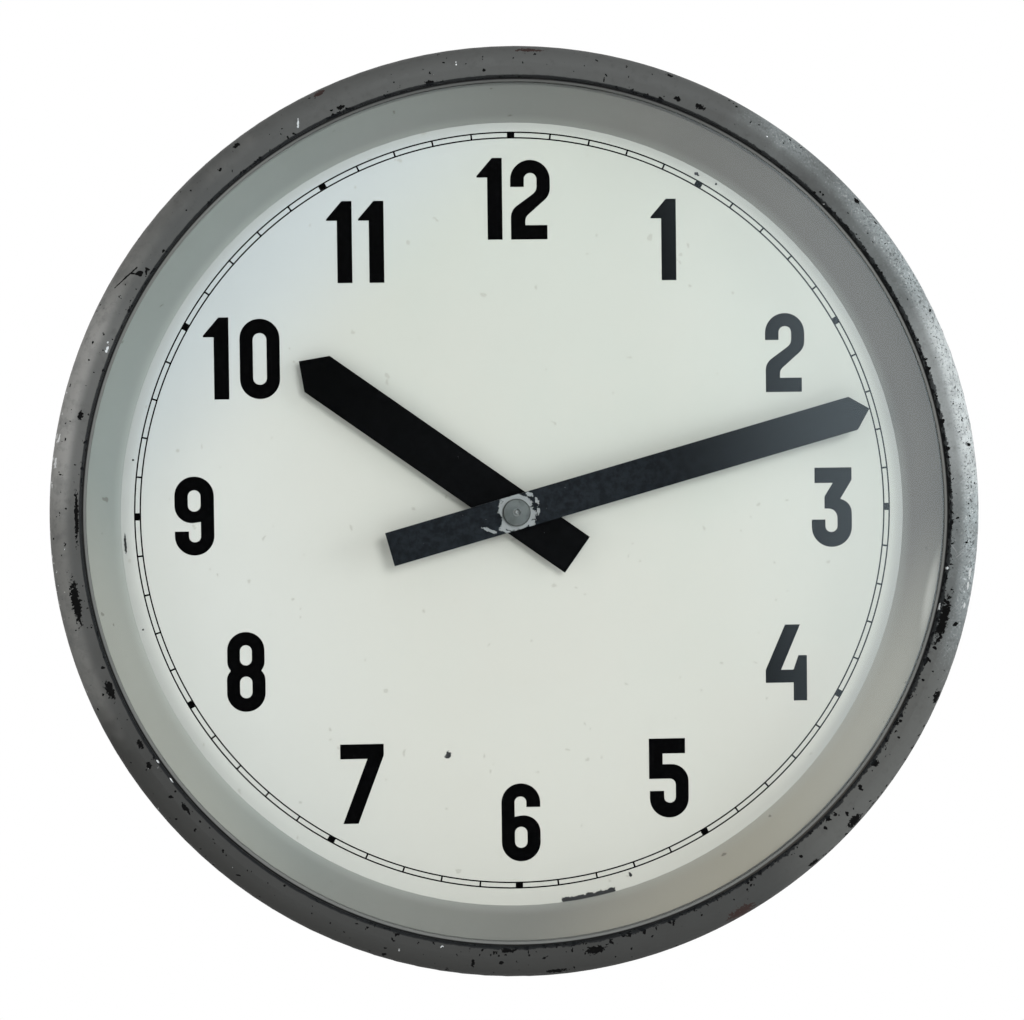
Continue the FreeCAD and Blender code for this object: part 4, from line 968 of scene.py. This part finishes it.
# %% [markdown]
# ## Metals and insulators of the movement
# Nobody sees the movement through the dial, but it is all there. One recipe serves the metals: a colour
# that tarnish darkens in clouds, turning lines as fine rings, and a roughness that varies with the tarnish.

# %% Metals: name, bright and dull colour, smooth and rough, and the pitch of the turning lines
fine_pitch = 0.5 * mm
coarse_pitch = 0.9 * mm
metals = {
    "zinc_steel": ("zinc_plated_steel", (0.50, 0.52, 0.53), (0.30, 0.31, 0.31), 0.3, 0.5, fine_pitch),
    "arbor_steel": ("turned_steel", (0.56, 0.57, 0.56), (0.33, 0.34, 0.33), 0.2, 0.36, fine_pitch),
    "spring_steel": ("blued_spring_steel", (0.10, 0.13, 0.22), (0.06, 0.07, 0.10), 0.25, 0.4, fine_pitch),
    "wheel_brass": ("milled_brass", (0.72, 0.50, 0.20), (0.52, 0.35, 0.135), 0.24, 0.42, fine_pitch),
    "collet_brass": (
        "dull_plated_brass", (0.145, 0.154, 0.152), (0.10, 0.108, 0.105), 0.42, 0.6, coarse_pitch,
    ),
    "magnet_iron": ("soft_iron", (0.22, 0.21, 0.20), (0.10, 0.09, 0.085), 0.45, 0.65, fine_pitch),
}


def worked_metal(name, bright, dull, smooth, rough, ring_pitch):
    finish = Finish(name)
    tarnish = finish.noise(11 * mm, 4, 0.6)
    rings = finish.waves(finish.from_axis(), ring_pitch)
    spots = finish.step(finish.noise(2.4 * mm, 3, 0.5), 0.66, 0.72)
    colour = finish.blend(finish.step(tarnish, 0.35, 0.7), bright, dull)
    finish.set(Base_Color=finish.blend(finish.times(spots, 0.35), colour, tuple(part / 3 for part in dull)))
    finish.set(Metallic=1.0, Roughness=finish.step(tarnish, 0.3, 0.7, smooth, rough))
    finish.relief(rings, 0.006 * mm, 0.35)
    return finish.material


for slot, recipe in metals.items():
    keep(slot, worked_metal(*recipe))

# %% Copper wire, phenolic and cotton
def lacquered_winding():
    finish = Finish("enamelled_copper_wire")
    new_copper, old_copper = (0.36, 0.11, 0.045), (0.22, 0.06, 0.025)
    wire_pitch = 0.6 * mm
    turns = finish.waves(finish.along((0, 0, 1)), wire_pitch)
    age = finish.noise(6 * mm, 3)
    finish.set(Base_Color=finish.blend(finish.step(age, 0.3, 0.7), new_copper, old_copper))
    finish.set(Metallic=0.7, Roughness=finish.step(age, 0.3, 0.7, 0.28, 0.42))
    finish.relief(turns, 0.2 * mm, 0.8)
    return finish.material


def brown_phenolic():
    finish = Finish("brown_phenolic")
    resin, flour = (0.03, 0.012, 0.006), (0.075, 0.032, 0.015)
    filler = finish.noise(1.8 * mm, 5, 0.7)
    finish.set(Base_Color=finish.blend(finish.step(filler, 0.35, 0.7), resin, flour))
    finish.set(Roughness=finish.step(filler, 0.3, 0.7, 0.3, 0.45))
    finish.relief(filler, 0.02 * mm, 0.4)
    return finish.material


def cotton_lead():
    finish = Finish("red_cotton_lead")
    red, deep_red = (0.16, 0.02, 0.015), (0.06, 0.008, 0.007)
    weave = finish.cells(0.5 * mm, 0.4)
    finish.set(Base_Color=finish.blend(finish.step(weave, 0.2, 0.6), red, deep_red))
    finish.set(Roughness=finish.step(weave, 0.2, 0.6, 0.75, 0.9))
    finish.relief(weave, 0.12 * mm, 0.8)
    return finish.material


keep("winding_copper", lacquered_winding())
keep("phenolic", brown_phenolic())
keep("lead_cover", cotton_lead())

# %% [markdown]
# ## Putting the finishes on
# The record lists which nodes share a material slot. Each slot gets its finish, and the minute hand gets one
# of its own, because its lacquer is bluer and its wear is its own. A node's mesh stays as it is: only the
# material in its slot changes.

# %% Assign a finish to every node and to the printing
slot_of = {part["node"]: part["material_slot"] for part in frame["record"]["subparts"]}


def dress(piece, finish):
    piece.data.materials.clear()
    piece.data.materials.append(finish)


for name, node in nodes.items():
    dress(node, own_finish.get(name) or finishes[slot_of[name]])
ink = numeral_paint()
for piece in printing:
    dress(piece, ink)
for leaf in springs:
    dress(leaf, finishes["spring_steel"])
print("dressed", len(nodes), "nodes and", len(printing), "printed pieces")

# %% [markdown]
# ## The camera
# The picture was taken from a little left of the clock and a little above it, about 1.5 m away. The
# camera's place and its three small turns were found by fitting the clock's circles and hands. They are
# written in the clock's own directions (right, up, out of the wall). One quarter turn stands them upright.

# %% Camera
camera_place = Vector((-98.1, 51.2, 1552)) * mm
camera_turns = (-1.924, -3.684, -0.80)
focal_pixels = 3057.7
picture_wide = 1024
sensor_wide = 36
quarter_turn = math.radians(90)

camera_data = bpy.data.cameras.new("camera")
camera_data.sensor_width = sensor_wide
camera_data.sensor_fit = "HORIZONTAL"
camera_data.lens = focal_pixels * sensor_wide / picture_wide
camera_data.clip_start = 0.01
camera = bpy.data.objects.new("camera", camera_data)
bpy.context.scene.collection.objects.link(camera)
aim = Matrix.Identity(4)
for axis, degrees in zip("XYZ", camera_turns):
    aim = aim @ Matrix.Rotation(math.radians(degrees), 4, axis)
camera.matrix_world = Matrix.Rotation(quarter_turn, 4, "X") @ Matrix.Translation(camera_place) @ aim
bpy.context.scene.camera = camera
print("lens", round(camera_data.lens, 2), "mm")

# %% [markdown]
# ## Floor, light and background
# A clock on a wall has no floor under it, so a plain pale floor lies well below it, out of the picture.
# A soft key light stands up at the right front, where the hands' shadows say it was. A weaker one at the
# right side and a faint one at the left fill in, and these two don't show in the glass. The background is
# white for what is seen or mirrored, while the same world lights the clock more gently.

# %% Floor
floor_level = -0.62
floor_wide = 6


def pale_floor():
    finish = Finish("pale_floor")
    cloud = finish.noise(0.4, 3)
    pale = finish.blend(finish.step(cloud, 0.3, 0.7), (0.84, 0.84, 0.83), (0.87, 0.87, 0.86))
    finish.set(Base_Color=pale, Roughness=0.7)
    distance = finish.vector("LENGTH", finish.place)
    seen = finish.node("ShaderNodeLightPath").outputs["Is Camera Ray"]
    white = finish.node("ShaderNodeEmission")
    far = finish.times(finish.step(distance, 0.3, 1.25), seen)
    finish.show(finish.mix(far, finish.shader, white))
    return finish.material


bpy.ops.object.select_all(action="DESELECT")
bpy.ops.mesh.primitive_plane_add(size=floor_wide, location=(0, 0, floor_level))
floor = bpy.context.object
floor.name = "floor"
dress(floor, pale_floor())
print("floor at", floor_level, "m")

# %% Lamps
def soft_light(name, place, size, power, colour, in_mirrors):
    """A round lamp that looks at the dial's middle."""
    lamp = bpy.data.lights.new(name, "AREA")
    lamp.shape = "DISK"
    lamp.size = size
    lamp.energy = power
    lamp.color = colour
    holder = bpy.data.objects.new(name, lamp)
    holder.location = place
    holder.rotation_euler = (-Vector(place)).to_track_quat("-Z", "Y").to_euler()
    holder.visible_glossy = in_mirrors
    bpy.context.scene.collection.objects.link(holder)
    print("lamp", name, power, "W")


soft_light("key", (1.3, -4.0, 1.3), 1.7, 84, (1.0, 0.99, 0.985), True)
soft_light("side", (2.6, -1.0, 0.35), 1.4, 40, (0.92, 0.97, 1.0), False)
soft_light("fill", (-2.6, -1.3, 0.2), 1.4, 14, (1.0, 0.99, 0.97), False)

# %% World
lighting_level = 0.47
seen_level = 1.0
world = bpy.data.worlds.new("studio")
bpy.context.scene.world = world
world.use_nodes = True
tree = world.node_tree
backdrop = tree.nodes["Background"]
backdrop.inputs["Color"].default_value = (1, 1, 1, 1)
path = tree.nodes.new("ShaderNodeLightPath")
seen = path.outputs["Is Camera Ray"]
for ray in ("Is Glossy Ray", "Is Transmission Ray"):
    either = tree.nodes.new("ShaderNodeMath")
    either.operation = "MAXIMUM"
    tree.links.new(seen, either.inputs[0])
    tree.links.new(path.outputs[ray], either.inputs[1])
    seen = either.outputs[0]
level = tree.nodes.new("ShaderNodeMapRange")
level.inputs["To Min"].default_value = lighting_level
level.inputs["To Max"].default_value = seen_level
tree.links.new(seen, level.inputs["Value"])
tree.links.new(level.outputs["Result"], backdrop.inputs["Strength"])
print("world lights at", lighting_level, "and is seen at", seen_level)

# %% [markdown]
# ## A card for the glass to mirror
# A flat pane mirrors what stands in front of it. A dark card there keeps the glass clear, and its bright
# right side lays a soft veil over the numerals at the right. The card only shows in mirrors: it is hidden
# from the camera, casts no shadow and takes no light away from the dial.

# %% Room card
card_place = (0.15, -1.55, 0.0)
card_wide, card_high = 2.6, 2.2
card_dark = 0.004
card_bright = 1.9


def room_card():
    finish = Finish("room_card")
    bright_side = finish.step(finish.along((1, 0, 0.18)), 0.07, 0.32, 0.0, card_bright)
    edge = finish.step(finish.from_axis(), 0.62, 1.08)
    strength = finish.sum(finish.larger(bright_side, edge), card_dark)
    finish.show(finish.node("ShaderNodeEmission", {"Strength": strength, "Color": (0.77, 0.94, 1.05)}))
    return finish.material


bpy.ops.object.select_all(action="DESELECT")
bpy.ops.mesh.primitive_plane_add(size=1, location=(0, 0, 0), rotation=(quarter_turn, 0, 0))
card = bpy.context.object
card.name = "room_card"
card.scale = (card_wide, card_high, 1)
bpy.ops.object.transform_apply(location=False, rotation=True, scale=True)
card.location = card_place
dress(card, room_card())
card.visible_camera = False
card.visible_diffuse = False
card.visible_shadow = False
card.visible_transmission = False
print("card", card_wide, "by", card_high, "m")

# %% [markdown]
# ## View
# The Standard view shows colours as they are, without a film curve.

# %% View settings
bpy.context.scene.view_settings.view_transform = "Standard"
